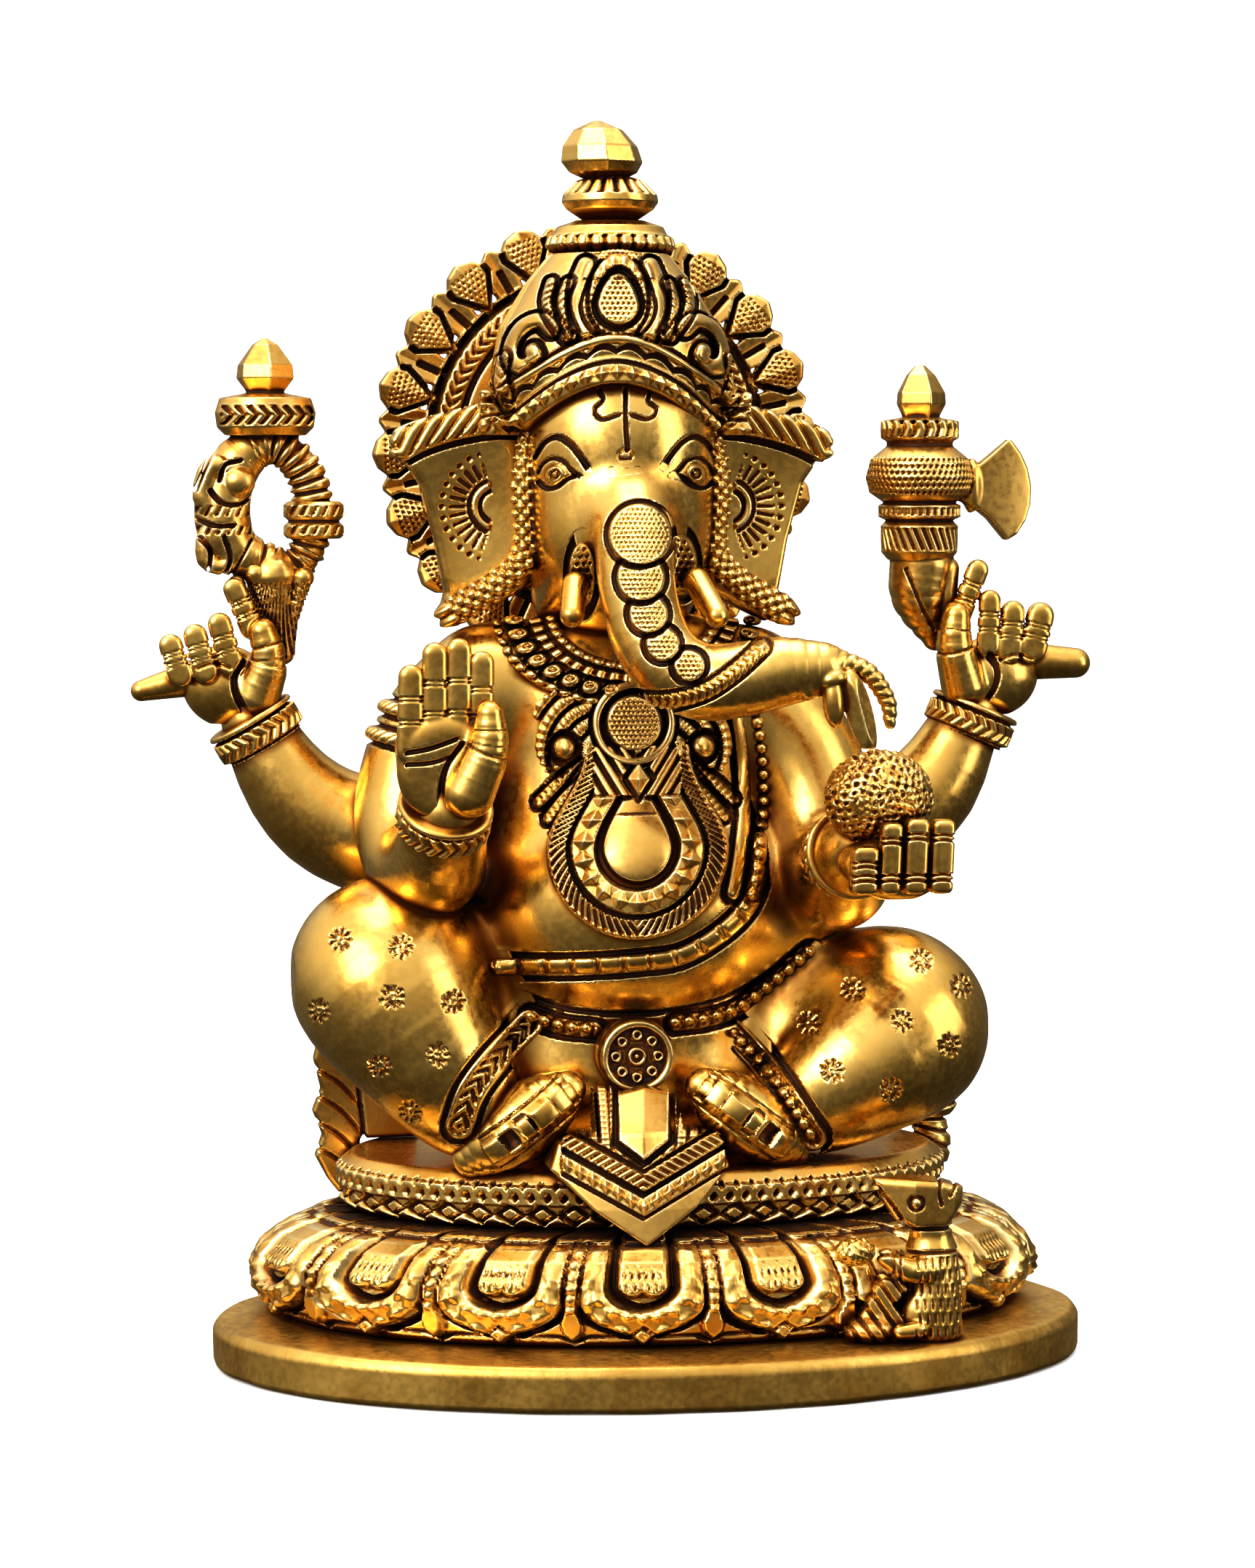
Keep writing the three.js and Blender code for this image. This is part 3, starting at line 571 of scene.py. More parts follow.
TUSK_FOLDS = [(-6.9, 126, 2.1, 4.8), (8.9, 127.6, 2.5, 4.4)]       # each one's middle and half-sizes
CHEEK_BANDS = [spline([(HEAD_X + side * 14.6, -6, 150, 1.6), (HEAD_X + side * 15.8, -7.4, 140, 2.0),
                       (HEAD_X + side * 15.2, -7, 130, 2.1), (HEAD_X + side * 18, -5.5, 125.4, 2.4),
                       (HEAD_X + side * 27, -4, 119.6, 2.6)]) for side in (-1, 1)]


def rope(p, path, pitch, depth, twist=0.0):
    """A band of scales, or of twisted strands, along a path."""
    d, s, side = tube(p, path, full=True)
    if twist:
        return d - depth * (np.abs(np.cos(math.pi * (s + twist * side) / pitch)) - 0.6)
    woven = np.abs(np.cos(math.pi * (s + side) / pitch) * np.cos(math.pi * (s - side) / pitch))
    return d - depth * (woven - 0.5) + 0.4 * depth * np.clip(1 - np.abs(side) / 0.3, 0, 1)


def head_form(p):
    mine, rest = skull_form(p), tube(p, TRUNK)
    d = share(union(3, mine, rest), mine, rest)
    d = relieved(d, p, head_relief)
    return np.minimum(d, np.minimum(*(rope(p, band, 2.1, 0.6) for band in CHEEK_BANDS)))


TRUNK_DISCS = [(-0.4, 132.6, 4.9), (-0.3, 125.7, 3.7), (0.9, 120, 3.0), (3.1, 115.3, 2.6), (7.2, 111.9, 2.4)]


def stipple(u, v, pitch=0.75, depth=0.35):
    """Punched dots in staggered rows."""
    row = np.round(v / pitch)
    return groove(hypot(cell(u + 0.5 * pitch * (row % 2), pitch), cell(v, pitch)), 0.3 * pitch + 0.06, depth)


def trunk_relief(x, y, z):
    u, v = facing(x, y, z, -31)
    h, above = 0, np.full(u.shape, 9.0, DIGITS)
    for cx, cz, r in TRUNK_DISCS:
        q = hypot(u - cx, v - cz) - r
        shown = above > 0.3
        disc = plateau(q, 0.8, 0.25) + groove(q - 0.45, 0.45, 0.7) + np.where(q < -0.4, stipple(u, v), 0)
        h = h + np.where(shown, disc, 0) + groove(above - 0.3, 0.5, 0.6) * (q < 0.4)
        above = np.minimum(above, q)
    q, s = trace(u, v, [(-4.5, 108), (2, 106.4), (9, 107.6), (14, 110.6), (18.5, 114.6)])
    band = ridge(q, 1.3, 0.7) + np.where(q < 1.25, ribs(s + 0.6 * q, 1.25, 0.5), 0)
    band = band + groove(np.abs(q - 1.5), 0.35, 0.6)
    return np.where(y < -19, h + band, 0)


def trunk_form(p):
    own, rest = tube(p, TRUNK), skull_form(p)
    d = share(union(3, own, rest), own, rest)
    lip = rope(p, spline([(25.4, -36, 112.8, 2.6), (28.5, -36.6, 113.2, 1.7), (34.1, -37, 111.2, 1.5),
                          (37.4, -37, 106.6, 1.3), (37.7, -37, 103.2, 0.9)]), 1.5, 0.25, 0.4)
    d = relieved(union(1.0, d, lip), p, trunk_relief)
    # Leaves hang from the open end.
    leaf = meet(0.2, ball(p, (32.6, -38.6, 105), (2.1, 2.2, 7.0), 15),
                np.abs(turned(p[0] - 32.6, p[2] - 105, 15)[0]) * 0.9 - 40.6 - p[1])
    lobes = union(0.3, ball(p, (28.5, -38.6, 106.8), (1.7, 1.9, 4.2), 4),
                  ball(p, (24.6, -38, 109.0), (1.1, 1.6, 2.2)),
                  ball(p, (28.4, -38.8, 110.2), (2.1, 1.7, 1.4), 20))
    return union(0.4, d, leaf, lobes)


def tusk_form(node):
    """A short blunt tusk, most of it in the fold it grows from."""
    low, high = room(node)
    side = -1 if low[0] < 0 else 1
    tip = (low[0] + 1.9 if side < 0 else high[0] - 1.9, low[1] + 2, low[2] + 2, 1.9)
    root = ((low[0] + high[0]) / 2 - side * 0.4, high[1] - 3, high[2] - 4.6, 2.1)
    return lambda p: tube(p, spline([root, tip], 2))


def ear_form(side):
    """An ear, which is a thin dished plate. Side is -1 for the right one."""
    fan = [(12, 149), (22, 152), (34.6, 148.6), (35, 145.4), (31.4, 140), (29, 131), (27.4, 122.6),
           (28.4, 118.6), (25, 117.6), (16, 122), (12, 125)]

    def form(p):
        u = (p[0] - HEAD_X) * side
        edge = polygon(u, p[2], fan) + 0.4
        dish = 0.9 * np.clip(1 - hypot(u - 24, (p[2] - 137) * 0.7) / 9, 0, 1)
        return meet(1.2, edge - 0.3, np.abs(p[1] - 3.6 - dish * 0.5) - 2.6 + dish)

    def relief(x, y, z):
        u, v = (x - HEAD_X) * side, z
        du, dv = u - 19.0, v - 136.4
        r, a = hypot(du, dv), np.arctan2(dv, du)
        h = groove(r - 2.6, 0.35, 0.6) + groove(r - 4.3, 0.4, 0.6) + ridge(r - 3.5, 0.7, 0.5)
        rays = groove(cell(a, 0.21) * r, 0.3, 0.5) * ((r > 4.9) & (r < 7.6))
        dots = groove(hypot(cell(a, 0.21) * r, r - 8.8), 0.48, 0.6)
        h = np.where((du > -0.6) & (np.abs(a) < 1.25), h + rays + dots, 0)
        q, s = trace(u, v, [(12, 150.4), (18, 150.8), (25, 149.8), (31, 148), (35, 146)])
        band = 1.5 * np.sqrt(np.clip(1 - (q / 2.7) ** 4, 0, 1))
        band = band + np.where(q < 2.2, ribs(s + 0.9 * (v - 149), 2.1, 0.6, 2), 0)
        return np.where(y < 3, h + band + groove(q - 3.1, 0.5, 0.9), 0)
    return form, relief


# ---- Halo and crown ----

HALO_TURN = math.radians(3)
HALO_PETALS = 20
HALO_BAND, HALO_CHEVRONS = 25.2, 84    # the radius of the chevron band, and how many it holds


def petal(r, across, outline, face, back, y):
    """One petal of the halo: its outline is [radius, half-width], and its face is a depth."""
    side = [*outline, *((reach, -half) for reach, half in reversed(outline))]
    return meet(0.5, polygon(r, across, side) - 0.2, face - y, y - back)


def halo_form(p):
    low, high = room("halo")
    centre = (low + high) / 2
    x, z = p[0] - centre[0], p[2] - centre[2]
    r, a = hypot(x, z), np.arctan2(z, x) - HALO_TURN
    plate = meet(0.6, r - 28.6, 18.6 - p[1], p[1] - high[1])
    step = 2 * math.pi / HALO_PETALS
    big, small = cell(a, step) * r, cell(a + step / 2, step) * r
    face = 17.9 + 0.28 * np.abs(big) + 0.02 * (r - 33) ** 2
    outline = [(28, 0.3), (30, 1.9), (32.6, 3.2), (34.8, 3.5), (36.3, 2.2), (37, 0.2)]
    large = petal(r, big, outline, face, high[1], p[1])
    face = 19.4 - 0.3 * np.abs(small)
    little = petal(r, small, [(27.6, 2.0), (31, 2.4), (34.4, 2.3), (36, 0.3)], face, high[1], p[1])
    return np.minimum(plate, np.minimum(large, little))


def halo_relief(x, y, z):
    low, high = room("halo")
    centre = (low + high) / 2
    u, v = x - centre[0], z - centre[2]
    r, a = hypot(u, v), np.arctan2(v, u) - HALO_TURN
    step = 2 * math.pi / HALO_PETALS
    big, small, s = cell(a, step) * r, cell(a + step / 2, step) * r, a * HALO_BAND
    off = np.abs(r - HALO_BAND)
    h = groove(r - 22.8, 0.6, 0.8) + plateau(off - 1.5, 0.9, 0.3) + groove(r - 27.6, 0.8, 1.6)
    chevron = ribs(s + 1.1 * off, 2 * math.pi * HALO_BAND / HALO_CHEVRONS, 0.7, 2)
    h = h + np.where(off < 1.3, chevron, 0)
    inside = (r > 29.4) & (r < 35.4) & (np.abs(big) < (r - 27.6) * 0.5) & (np.abs(big) < 2.6)
    h = h + np.where(inside, stipple(big, r, 0.9, 0.45), 0)
    slit = groove(np.abs(small) - 0.1, 0.45, 0.9) * (r < 32.6) * (r > 28.4)
    gap = groove(big - np.clip((r - 28) * 0.68, 0, 3.7) * np.sign(big), 0.5, 1.3) * (r > 28) * (r < 34.8)
    return np.where(y < 20.6, h + slit + gap, 0)


CROWN_X, CROWN_Y, CROWN_TURN = -0.5, 0.0, math.radians(5)
CROWN_R = 17.5                         # its mean radius, for lengths round it
CROWN_FLUTES = 36
JEWEL_Z = 168.2                        # the middle of the jewel on its front
CROWN_OUTLINE = [(16, 148), (18.4, 150), (19.3, 156), (17.6, 165), (13.4, 172), (9.6, 176.5)]


def brow_height(a):
    """How high the crown's lower edge stands, from the front round to the back."""
    dip = np.clip(np.abs(np.degrees(a)) / 75, 0, 1)
    return 157.6 - 9 * dip * dip * (3 - 2 * dip)


def crown_form(p):
    a = np.arctan2(p[0] - CROWN_X, CROWN_Y - p[1]) + CROWN_TURN
    d = lathe(p, CROWN_X, CROWN_Y, CROWN_OUTLINE) - 0.2
    d = meet(0.6, d, (brow_height(a) - 1.8 - p[2]) * 0.9)
    # A leaf knot over each temple.
    for side, x, z in ((-1, -20.2, 150), (1, 19.4, 150.6)):
        knot = ball(p, (x, -6.6, z), (2.3, 2.6, 5.4), -side * 24)
        across = np.abs(turned(p[0] - x, p[2] - z, -side * 24)[0])
        knot = knot - 0.5 * np.abs(np.cos(math.pi * (p[2] + across) / 2.1))
        d = np.minimum(d, knot + 0.4)
    return d


def crown_relief(x, y, z):
    a = np.arctan2(x - CROWN_X, CROWN_Y - y) + CROWN_TURN
    u, v = facing(x, y, z, -18)
    u = u + 1.8
    w = CROWN_R * a
    m = np.abs(u)
    t = z - brow_height(a)
    h = lozenges(w, t, 2.2, 1.4, 1.2) + groove(t - 1.6, 0.4, 0.9)
    # A garland of scallops over the band, with a lip above it.
    scallop = t - 3.2 - 0.9 * np.abs(np.sin(math.pi * w / 4.4))
    h = h + np.where(t < 5, groove(scallop, 0.5, 1.1) - 0.4 * np.clip(1 - np.abs(t - 2.6), 0, 1), 0)
    h = h + ridge(t - 5.2, 0.7, 0.8) + groove(t - 6.3, 0.45, 0.8)
    # The jewel in its beaded border, on a pointed plate, with plumes and a scroll on each side.
    rise = np.maximum(v - JEWEL_Z, 0)
    jewel = hypot(m * (1 + 0.02 * rise), np.minimum(v - JEWEL_Z, 0), rise * 0.56) + 0.10 * rise - 3.3
    g = plateau(hypot(m, np.maximum(v - 172, 0) * 0.95) - 5.6, 0.7, 0.4) * (v > 172.6)
    g = g + np.where((v > 175) & (m < 4.6) & (jewel > 2.4), stipple(u, v), 0)
    g = g + plateau(jewel, 1.5, 0.4) + np.where(jewel < -0.4, stipple(u, v, 0.85, 0.4), 0)
    g = g + groove(jewel - 0.5, 0.55, 1.0)
    ring = jewel - 1.6
    rim = ribs(np.arctan2(u, v - 168) * 5, 1.2, 0.4)
    g = g + ridge(ring, 0.85, 1.1) + np.where(np.abs(ring) < 0.8, rim, 0)
    g = g + groove(jewel - 2.7, 0.35, 0.9) * (v < 176)
    for points, width, rib in PLUMES:
        q, s = trace(m, v, points)
        g = g + ridge(q, width, 1.3) + groove(np.abs(q - width - 0.3), 0.4, 1.1)
        g = g + (np.where(q < width, ribs(s + 0.5 * m, rib, 0.4, 2), 0) if rib else 0)
    q, _ = trace(m, v, SCROLL)
    g = g + ridge(q, 1.35, 1.3) + groove(q - 1.6, 0.4, 1.0) + ridge(hypot(m - 13.7, v - 160.8), 1.6, 0.9)
    # A twisted leaf under each scroll.
    q, s = trace(m, v, [(18.6, 160.6), (18.9, 157), (17.6, 153.6)])
    g = g + ridge(q, 1.2, 1.0) + np.where(q < 1.2, ribs(s + q, 1.6, 0.4, 2), 0) + groove(q - 1.5, 0.35, 0.8)
    shown = ((y < CROWN_Y) & (t > 6.1)) | ((m > 16.6) & (t > 1.8) & (y < CROWN_Y))
    h = h + np.where(shown, g, 0)
    back = (np.abs(a) > 1.25) & (t > 5.6)
    return h + np.where(back, ribs(w, CROWN_R * 2 * math.pi / CROWN_FLUTES, 0.7), 0)


# Each plume's line, its half-width and the pitch of its ribs, if it has any.
PLUMES = [([(4.6, 163.2), (6.0, 165.6), (6.5, 169), (6.2, 172.4), (5.2, 175.2)], 1.35, 0),
          ([(7.4, 163.4), (8.7, 166.6), (8.9, 169.6), (8.0, 172.2)], 0.85, 1.3),
          ([(8.3, 163.2), (10.6, 166.4), (11.5, 169.4), (10.8, 172.6)], 0.85, 1.0)]

SCROLL = [(10.6, 164.6), (12.6, 166.2), (15.4, 165.4), (17.2, 162.6), (16.8, 159.8), (14.6, 158.9),
          (13.2, 160.2), (13.6, 161.4)]


def tier_form(profile, x, y, cuts, cut_band, depth):
    """A small turned tier with cuts round part of its height."""
    def form(p):
        d = lathe(p, x, y, profile)
        a = np.arctan2(p[0] - x, y - p[1])
        band = (p[2] > cut_band[0]) & (p[2] < cut_band[1])
        return d + depth * np.where(band, (0.5 + 0.5 * np.cos(cuts * a)) ** 3, 0)
    return form


FACET_START = 0.4                      # how far round the first flat side is


def faceted(p, x, y, profile, sides, lean=0.0):
    """A bud with flat sides, which may lean."""
    u = p[0] - x - lean * (p[2] - profile[0][1])
    v = p[1] - y
    a = np.arctan2(u, -v) + FACET_START
    r = hypot(u, v) * np.cos(cell(a, 2 * math.pi / sides))
    return polygon(r, p[2], [(-9, profile[0][1]), *profile, (-9, profile[-1][1])]) - 0.15


# ---- Necklace, pendant, buckle and drape: thin castings that lie on the body ----

LAID_BACK = 2                          # laid-on castings end here, at the sides of the body


def laid_on(body, thickness, region):
    """A thin casting over part of a body's front."""
    def form(p):
        d = body(p)
        shell = meet(0.5, d - thickness, region(p))
        return np.maximum(np.maximum(shell, -(d + 0.5)), p[1] - LAID_BACK)
    return form


CHEST = (0.4, 102.6)                   # the middle of the chest jewel
PENDANT = (0.0, 83.6)                  # the middle of the belly plate
NECK = (0.5, 121)                      # the middle of the collar's rings
NECK_HALF = (23, 15.8)                 # half-sizes of its ring number 20
JEWEL_EDGE = [(-15, 99), (-13, 95.6), (-9.5, 97.4), (-4, 98.6), (5, 98.6), (10.5, 97.4), (14, 95.6), (16, 99),
              (15.4, 106), (9, 108.6), (-8, 108.6), (-14.6, 106)]


def collar_rings(u, v):
    """Which of the collar's oval rings a place is on, and the angle round them from the bottom."""
    du, dv = (u - NECK[0]) / NECK_HALF[0], (v - NECK[1]) / NECK_HALF[1]
    return hypot(du, dv) * 20, np.arctan2(du, -dv)


def collar_region(p):
    u, v = facing(*p, -20)
    e, _ = collar_rings(u, v)
    beside = 6.7 - hypot(u - CHEST[0], v - CHEST[1])
    return np.maximum(np.maximum(np.maximum(e - 20.6, 11 - e), v - 119.6), beside)


def jewel_region(p):
    u, v = facing(*p, -20)
    e, _ = collar_rings(u, v)
    plate = np.maximum(polygon(u, v, JEWEL_EDGE), 20.8 - e)
    return np.minimum(plate, hypot(u - CHEST[0], v - CHEST[1]) - 6.5)


def collar_relief(x, y, z):
    u, v = facing(x, y, z, -20)
    e, a = collar_rings(u, v)
    s = a * 18
    h = beads(s * 0.66, e - 11.9, 1.7, 0.85) + groove(e - 13.0, 0.35, 0.9)
    h = h + np.where(np.abs(e - 14.2) < 1.1, 0.5 + ribs(s * 0.78, 1.9, 1.0, 2), 0)
    h = h + groove(e - 15.4, 0.4, 1.1)
    # A row of leaf-shaped loops, each folded over a small eye, and beads along the edge.
    loop = cell(s * 0.94, 3.1)
    dome = hypot(loop / 1.35, (e - 17.1) / 1.75)
    h = h + 1.4 * np.sqrt(np.clip(1 - dome ** 2, 0, 1)) + groove(dome - 1.05, 0.25, 0.9)
    h = h + groove(hypot(loop + 0.3, e - 16.6) - 0.5, 0.25, 0.6) + beads(s * 1.07, e - 19.5, 2.0, 0.95)
    return h + groove(e - 18.7, 0.25, 0.6)


def jewel_relief(x, y, z):
    """The chest jewel: a grained boss in a ring, with three nested ribbed arcs and a scroll on each side."""
    u, v = facing(x, y, z, -20)
    cu, cv = np.abs(u - CHEST[0]), v - CHEST[1]
    r = hypot(cu, cv)
    g = plateau(r - 4.4, 1.4, 0.5) + np.where(r < 4, stipple(u, v), 0) + groove(r - 4.95, 0.5, 1.1)
    g = g + ridge(r - 6.1, 0.75, 1.0) + groove(r - 7.0, 0.35, 1.0)
    swing, turn = hypot(cu - 5.5, v - 98.3), np.arctan2(v - 98.3, cu - 5.5)
    arcs = cell(swing - 4.6, 2.5)
    fan = ridge(arcs, 1.0, 1.1) + ribs(turn * 7, 1.0, 0.35) + groove(np.abs(arcs) - 1.25, 0.35, 0.9)
    coil = hypot(cu - 11.2, cv + 3.8)
    fan = np.where(coil < 2.9, ridge(coil, 1.8, 1.8) + groove(coil - 2.35, 0.5, 1.1), fan)
    return np.where(r < 7.2, g, fan)


def pendant_q(across, v):
    """Distance outwards from the middle of the belly plate, whose sides draw together towards its top."""
    u = np.abs(across - PENDANT[0])
    dz = v - PENDANT[1]
    rise = np.clip(dz / 14, 0, 1)
    r = hypot(u, dz)
    sides = u + 4.6 * rise * rise * (3 - 2 * rise) + 0.1 * dz
    return np.where(dz > 0, np.maximum(sides, r * 0.72), r)


def pendant_region(p):
    u, v = facing(*p, -26)
    return np.maximum(pendant_q(u, v) - 14.4, v - 99) * 0.8


def pendant_relief(x, y, z):
    u, v = facing(x, y, z, -26)
    dz = v - PENDANT[1]
    q, a = pendant_q(u, v), np.arctan2(u - PENDANT[0], -dz)
    side = np.where(dz > 0, 1.57 * 10 + dz, np.abs(a) * 10)
    h = 0.8 * np.sqrt(np.clip(1 - (q / 5.4) ** 2, 0, 1)) * (dz < 5)
    h = h + groove(q - 6.1, 0.75, 1.5)
    band = np.clip(1 - np.abs(q - 8.7) / 2.1, 0, 1)
    h = h + np.where(band > 0, 0.5 + lozenges(side * 0.9, q - 8.7, 3.0, 2.0, 1.0), 0)
    h = h + groove(np.abs(q - 8.7) - 1.9, 0.2, 0.4)
    h = h + groove(q - 11, 0.4, 1.0)
    feather = np.abs(q - 12.7) < 1.4
    h = h + np.where(feather, 0.6 + ribs(side * 1.2 + 0.8 * q, 1.2, 0.7, 2), 0) + ridge(q - 14.2, 0.4, 0.5)
    # A cut stone hangs over its top, between pleats that spread from the jewel above.
    stone = np.abs(u - 0.2) / 2.1 + np.abs(v - 94.2) / 3.2
    top = 1.4 * np.clip(1 - stone, 0, 1) + groove((stone - 1.1) * 2, 0.5, 0.9)
    pleats = 0.4 + ribs(np.abs(u) - 0.62 * (v - 97), 2.1, 0.9, 3)
    return np.where((v > 90.4) & (stone < 1.35), top, np.where((v > 91.5) & (np.abs(u) < 7), pleats, h))


def armlet_relief(x, y, z):
    """Two ribbed rings round the upper arm, seen on its outer side."""
    h = 0
    for height in (98.4, 103.2):
        q = np.abs(z + 0.25 * (x + 31) - height)
        h = h + ridge(q, 1.2, 1.0) + np.where(q < 1.1, ribs(y + 0.6 * z, 1.8, 0.5, 2), 0)
        h = h + groove(q - 1.5, 0.4, 0.9)
    return np.where((x < -30) & (y < 6), h, 0)


def buckle_form(p):
    centre = middle("belt_buckle")
    low, high = room("belt_buckle")
    r = hypot(p[0] - centre[0], p[2] - centre[2])
    return meet(0.8, r - 6.0, low[1] - 0.2 - p[1], p[1] - high[1])


def buckle_relief(x, y, z):
    centre = middle("belt_buckle")
    low = room("belt_buckle")[0]
    u, v = x - centre[0], z - centre[2]
    r, a = hypot(u, v), np.arctan2(v, u)
    ring = hypot(cell(a, 2 * math.pi / 8) * r, r - 3.4)
    h = ridge(r - 5.3, 0.65, 0.6) + groove(r - 5.95, 0.3, 0.5) - plateau(r - 4.5, 0.9, 0.3)
    h = h + ridge(ring - 0.65, 0.32, 0.8) + ridge(np.abs(r - 1.2), 0.35, 0.8) + ridge(r, 0.45, 0.6)
    return np.where(y < low[1] + 2, h, 0)


def drape_form(p):
    """Cloth that hangs over the edge of the seat to a point."""
    high = room("front_drape")[1]
    u, v = p[0], p[2]
    face = np.interp(v, [22, 28, 34, 39, 46], [-37.4, -36.2, -34.4, -32.2, -27.6]).astype(DIGITS)
    outline = [(-6.8, 39), (-13.2, 38), (-14.6, 34), (-8.4, 28), (-0.3, 22.4), (7.8, 28), (13.6, 34),
               (12.2, 38.2), (6.2, 39.4), (5.3, 45.5), (-6.7, 45.5)]
    return meet(0.6, polygon(u, v, outline), face + 0.012 * u * u - p[1], p[1] - high[1])


def drape_relief(x, y, z):
    u, v = facing(x, y, z, -29)
    v = v + 0.11 * (y + 29)
    m = np.abs(u - 0.5)
    # Nested points, one over another: each falls to the middle.
    fall = v - 0.58 * m
    inner, outer = fall - 30.9, fall - 27.2
    h = np.where(np.abs(inner) < 1.4, 0.6 + ribs(m * 0.9 + 0.8 * inner, 1.0, 0.6, 2), 0)
    h = h + groove(fall - 29.1, 0.55, 1.2) + groove(fall - 25.4, 0.35, 0.6) + groove(fall - 32.8, 0.4, 0.9)
    h = h + np.where(np.abs(outer) < 1.5, 0.4 + lozenges(m * 1.15, outer, 2.3, 1.5, 1.0), 0)
    h = np.where(m < 12.9, h, 0)
    # A cut leaf in the middle, and pleats on each side of it.
    leaf = np.maximum(m - 3.9, (m * 0.8 + 34.6 - v) * 0.78)
    g = np.where(leaf < 0, 1.4 - 0.3 * m - 0.12 * np.abs(v - 39), 0) + groove(leaf - 0.6, 0.6, 1.4)
    pleats = 0.5 + groove(cell(m - 4.9 - 0.08 * (v - 36), 1.9), 0.35, 0.8) + ribs(v, 0.9, 0.2)
    side = np.where(leaf > 1, pleats, 0)
    return np.where(fall > 33.3, g + side, h)


# ---- Arms, hands and what they hold ----

def finger(p, knuckle, tip, radius=1.9, joints=(0.35, 0.68)):
    """A finger with a flat front and a line pressed in at each joint."""
    path = np.array([(*knuckle, radius + 0.15), (*tip, radius)], DIGITS)
    d, at, _ = tube(p, path, full=True)
    length = float(np.linalg.norm(path[1, :3] - path[0, :3]))
    for joint in joints:
        d = d - groove(np.abs(at - joint * length) - 0.3, 0.22, 0.45)
    return meet(0.8, d, path[1, 1] - 0.72 * radius - p[1])


def thumb(p, *stations):
    path = spline(stations)
    d, at, _ = tube(p, path, full=True)
    length = float(np.sqrt((np.diff(path[:, :3], axis=0) ** 2).sum(1)).sum())
    return d - groove(at - 0.55 * length, 0.35, 0.3) - groove(at - 0.8 * length, 0.3, 0.3)


def rear_right_hand(p):
    palm = ball(p, (-61.6, REAR, 107.4), (7.4, 5, 6.6), -20)
    d = union(1.2, palm, thumb(p, (-57, 5, 106, 3.8), (-55.2, 3.6, 111.5, 3.0), (-56.2, 3.2, 116.4, 2.2)))
    return union(0.3, d,
                 finger(p, (-57.8, 4.6, 117), (-60.6, 4.2, 123.2), 1.8),
                 finger(p, (-61.2, 3.4, 111), (-63, 3.8, 117.6)),
                 finger(p, (-65.4, 3.4, 110.2), (-66.9, 4.0, 115.8)),
                 finger(p, (-69.4, 3.8, 109.6), (-70.8, 4.4, 114.2)))


def rear_left_hand(p):
    palm = ball(p, (65.4, REAR, 108.2), (7.4, 5, 6.8), 14)
    d = union(1.2, palm, thumb(p, (59.6, 5, 106.6, 3.8), (57.6, 3.6, 113.4, 3.1), (57.8, 3.2, 118.4, 2.3)))
    return union(0.3, d,
                 finger(p, (58.8, 4.8, 118.6), (61.6, 4.2, 125.8), 1.8),
                 finger(p, (63.2, 3.2, 113.4), (63.6, 3.8, 120.8), 1.8),
                 finger(p, (66.9, 3.2, 112.6), (67.5, 3.8, 118.8), 2.0),
                 finger(p, (70.8, 3.6, 112.8), (72.2, 4.0, 118.2), 2.3))


def rear_palm_relief(middle_x, middle_z):
    def relief(x, y, z):
        side = 1 if middle_x > 0 else -1
        u, v = (x - middle_x) * side, z - middle_z
        crease = line(u, v, [(-2.6, 3.5), (-1.2, 1), (-1.6, -2), (-3.4, -5)], 0.6, 0.9)
        return np.where(y < REAR - 1, crease + line(u, v, [(-0.6, 2.6), (2, 3.4), (4.6, 2.6)], 0.35, 0.35), 0)
    return relief


RAISED_FINGERS = [(-36.2, 110.6), (-32.5, 114), (-28.8, 114.6), (-25.3, 112.6)]


def front_right_hand(p):
    palm = union(2, ball(p, (-31, -30.4, 96.6), (7.2, 4.2, 8.6)),
                 ball(p, (-30.8, -30.4, 100.4), (7.4, 3.4, 4)))
    palm = meet(1.2, palm, -33.0 + 0.06 * (98 - p[2]) - p[1])
    d = union(1.5, palm,
              thumb(p, (-27.2, -32.4, 92.8, 4.0), (-24.4, -33.8, 99.5, 3.2), (-24.2, -34.2, 105, 2.1)))
    fingers = (finger(p, (x, -31.6, 99.4), (x + 0.2, -31.4, tip), 1.95, (0.38, 0.7))
               for x, tip in RAISED_FINGERS)
    return union(0.15, d, *fingers)


def front_palm_relief(x, y, z):
    u, v = facing(x, y, z, -34)
    h = line(u, v, [(-37, 99.2), (-33.5, 99.8), (-29.4, 101.2)], 0.45, 0.8)
    h = h + line(u, v, [(-37, 97.4), (-33.4, 97.6), (-30.6, 98.4)], 0.4, 0.7)
    h = h + line(u, v, [(-28.6, 100.4), (-31, 97), (-31.8, 93), (-31.4, 88)], 0.5, 1.0)
    return np.where(y < -31, h, 0)


CUPPED_FINGERS = [(32.6, 84.6, 2.0), (36.6, 88.2, 1.6), (40.6, 88.8, 1.75), (44.7, 88.6, 1.75)]


def front_left_hand(p):
    """A cupped hand: its four fingers are long flat bars with gaps between them."""
    palm = union(2, ball(p, (38.4, -35, 81.4), (8.4, 6.6, 4.4)), ball(p, (38.6, -38, 80.6), (7.4, 3, 5)))
    fingers = []
    for x, tip, half in CUPPED_FINGERS:
        width = np.abs(p[0] - x - 0.04 * (p[2] - 80)) - half
        bar = meet(1.0, width, np.abs(p[1] + 42) - 2.1, p[2] - tip, 77.2 - p[2])
        for joint in (79.4, 80.3, tip - 2.2, tip - 3.0):
            bar = bar - groove(p[2] - joint + 0.08 * (p[0] - x) ** 2, 0.24, 0.45) * (p[1] < -42)
        fingers.append(bar)
    return union(0.3, palm, np.minimum.reduce(fingers))


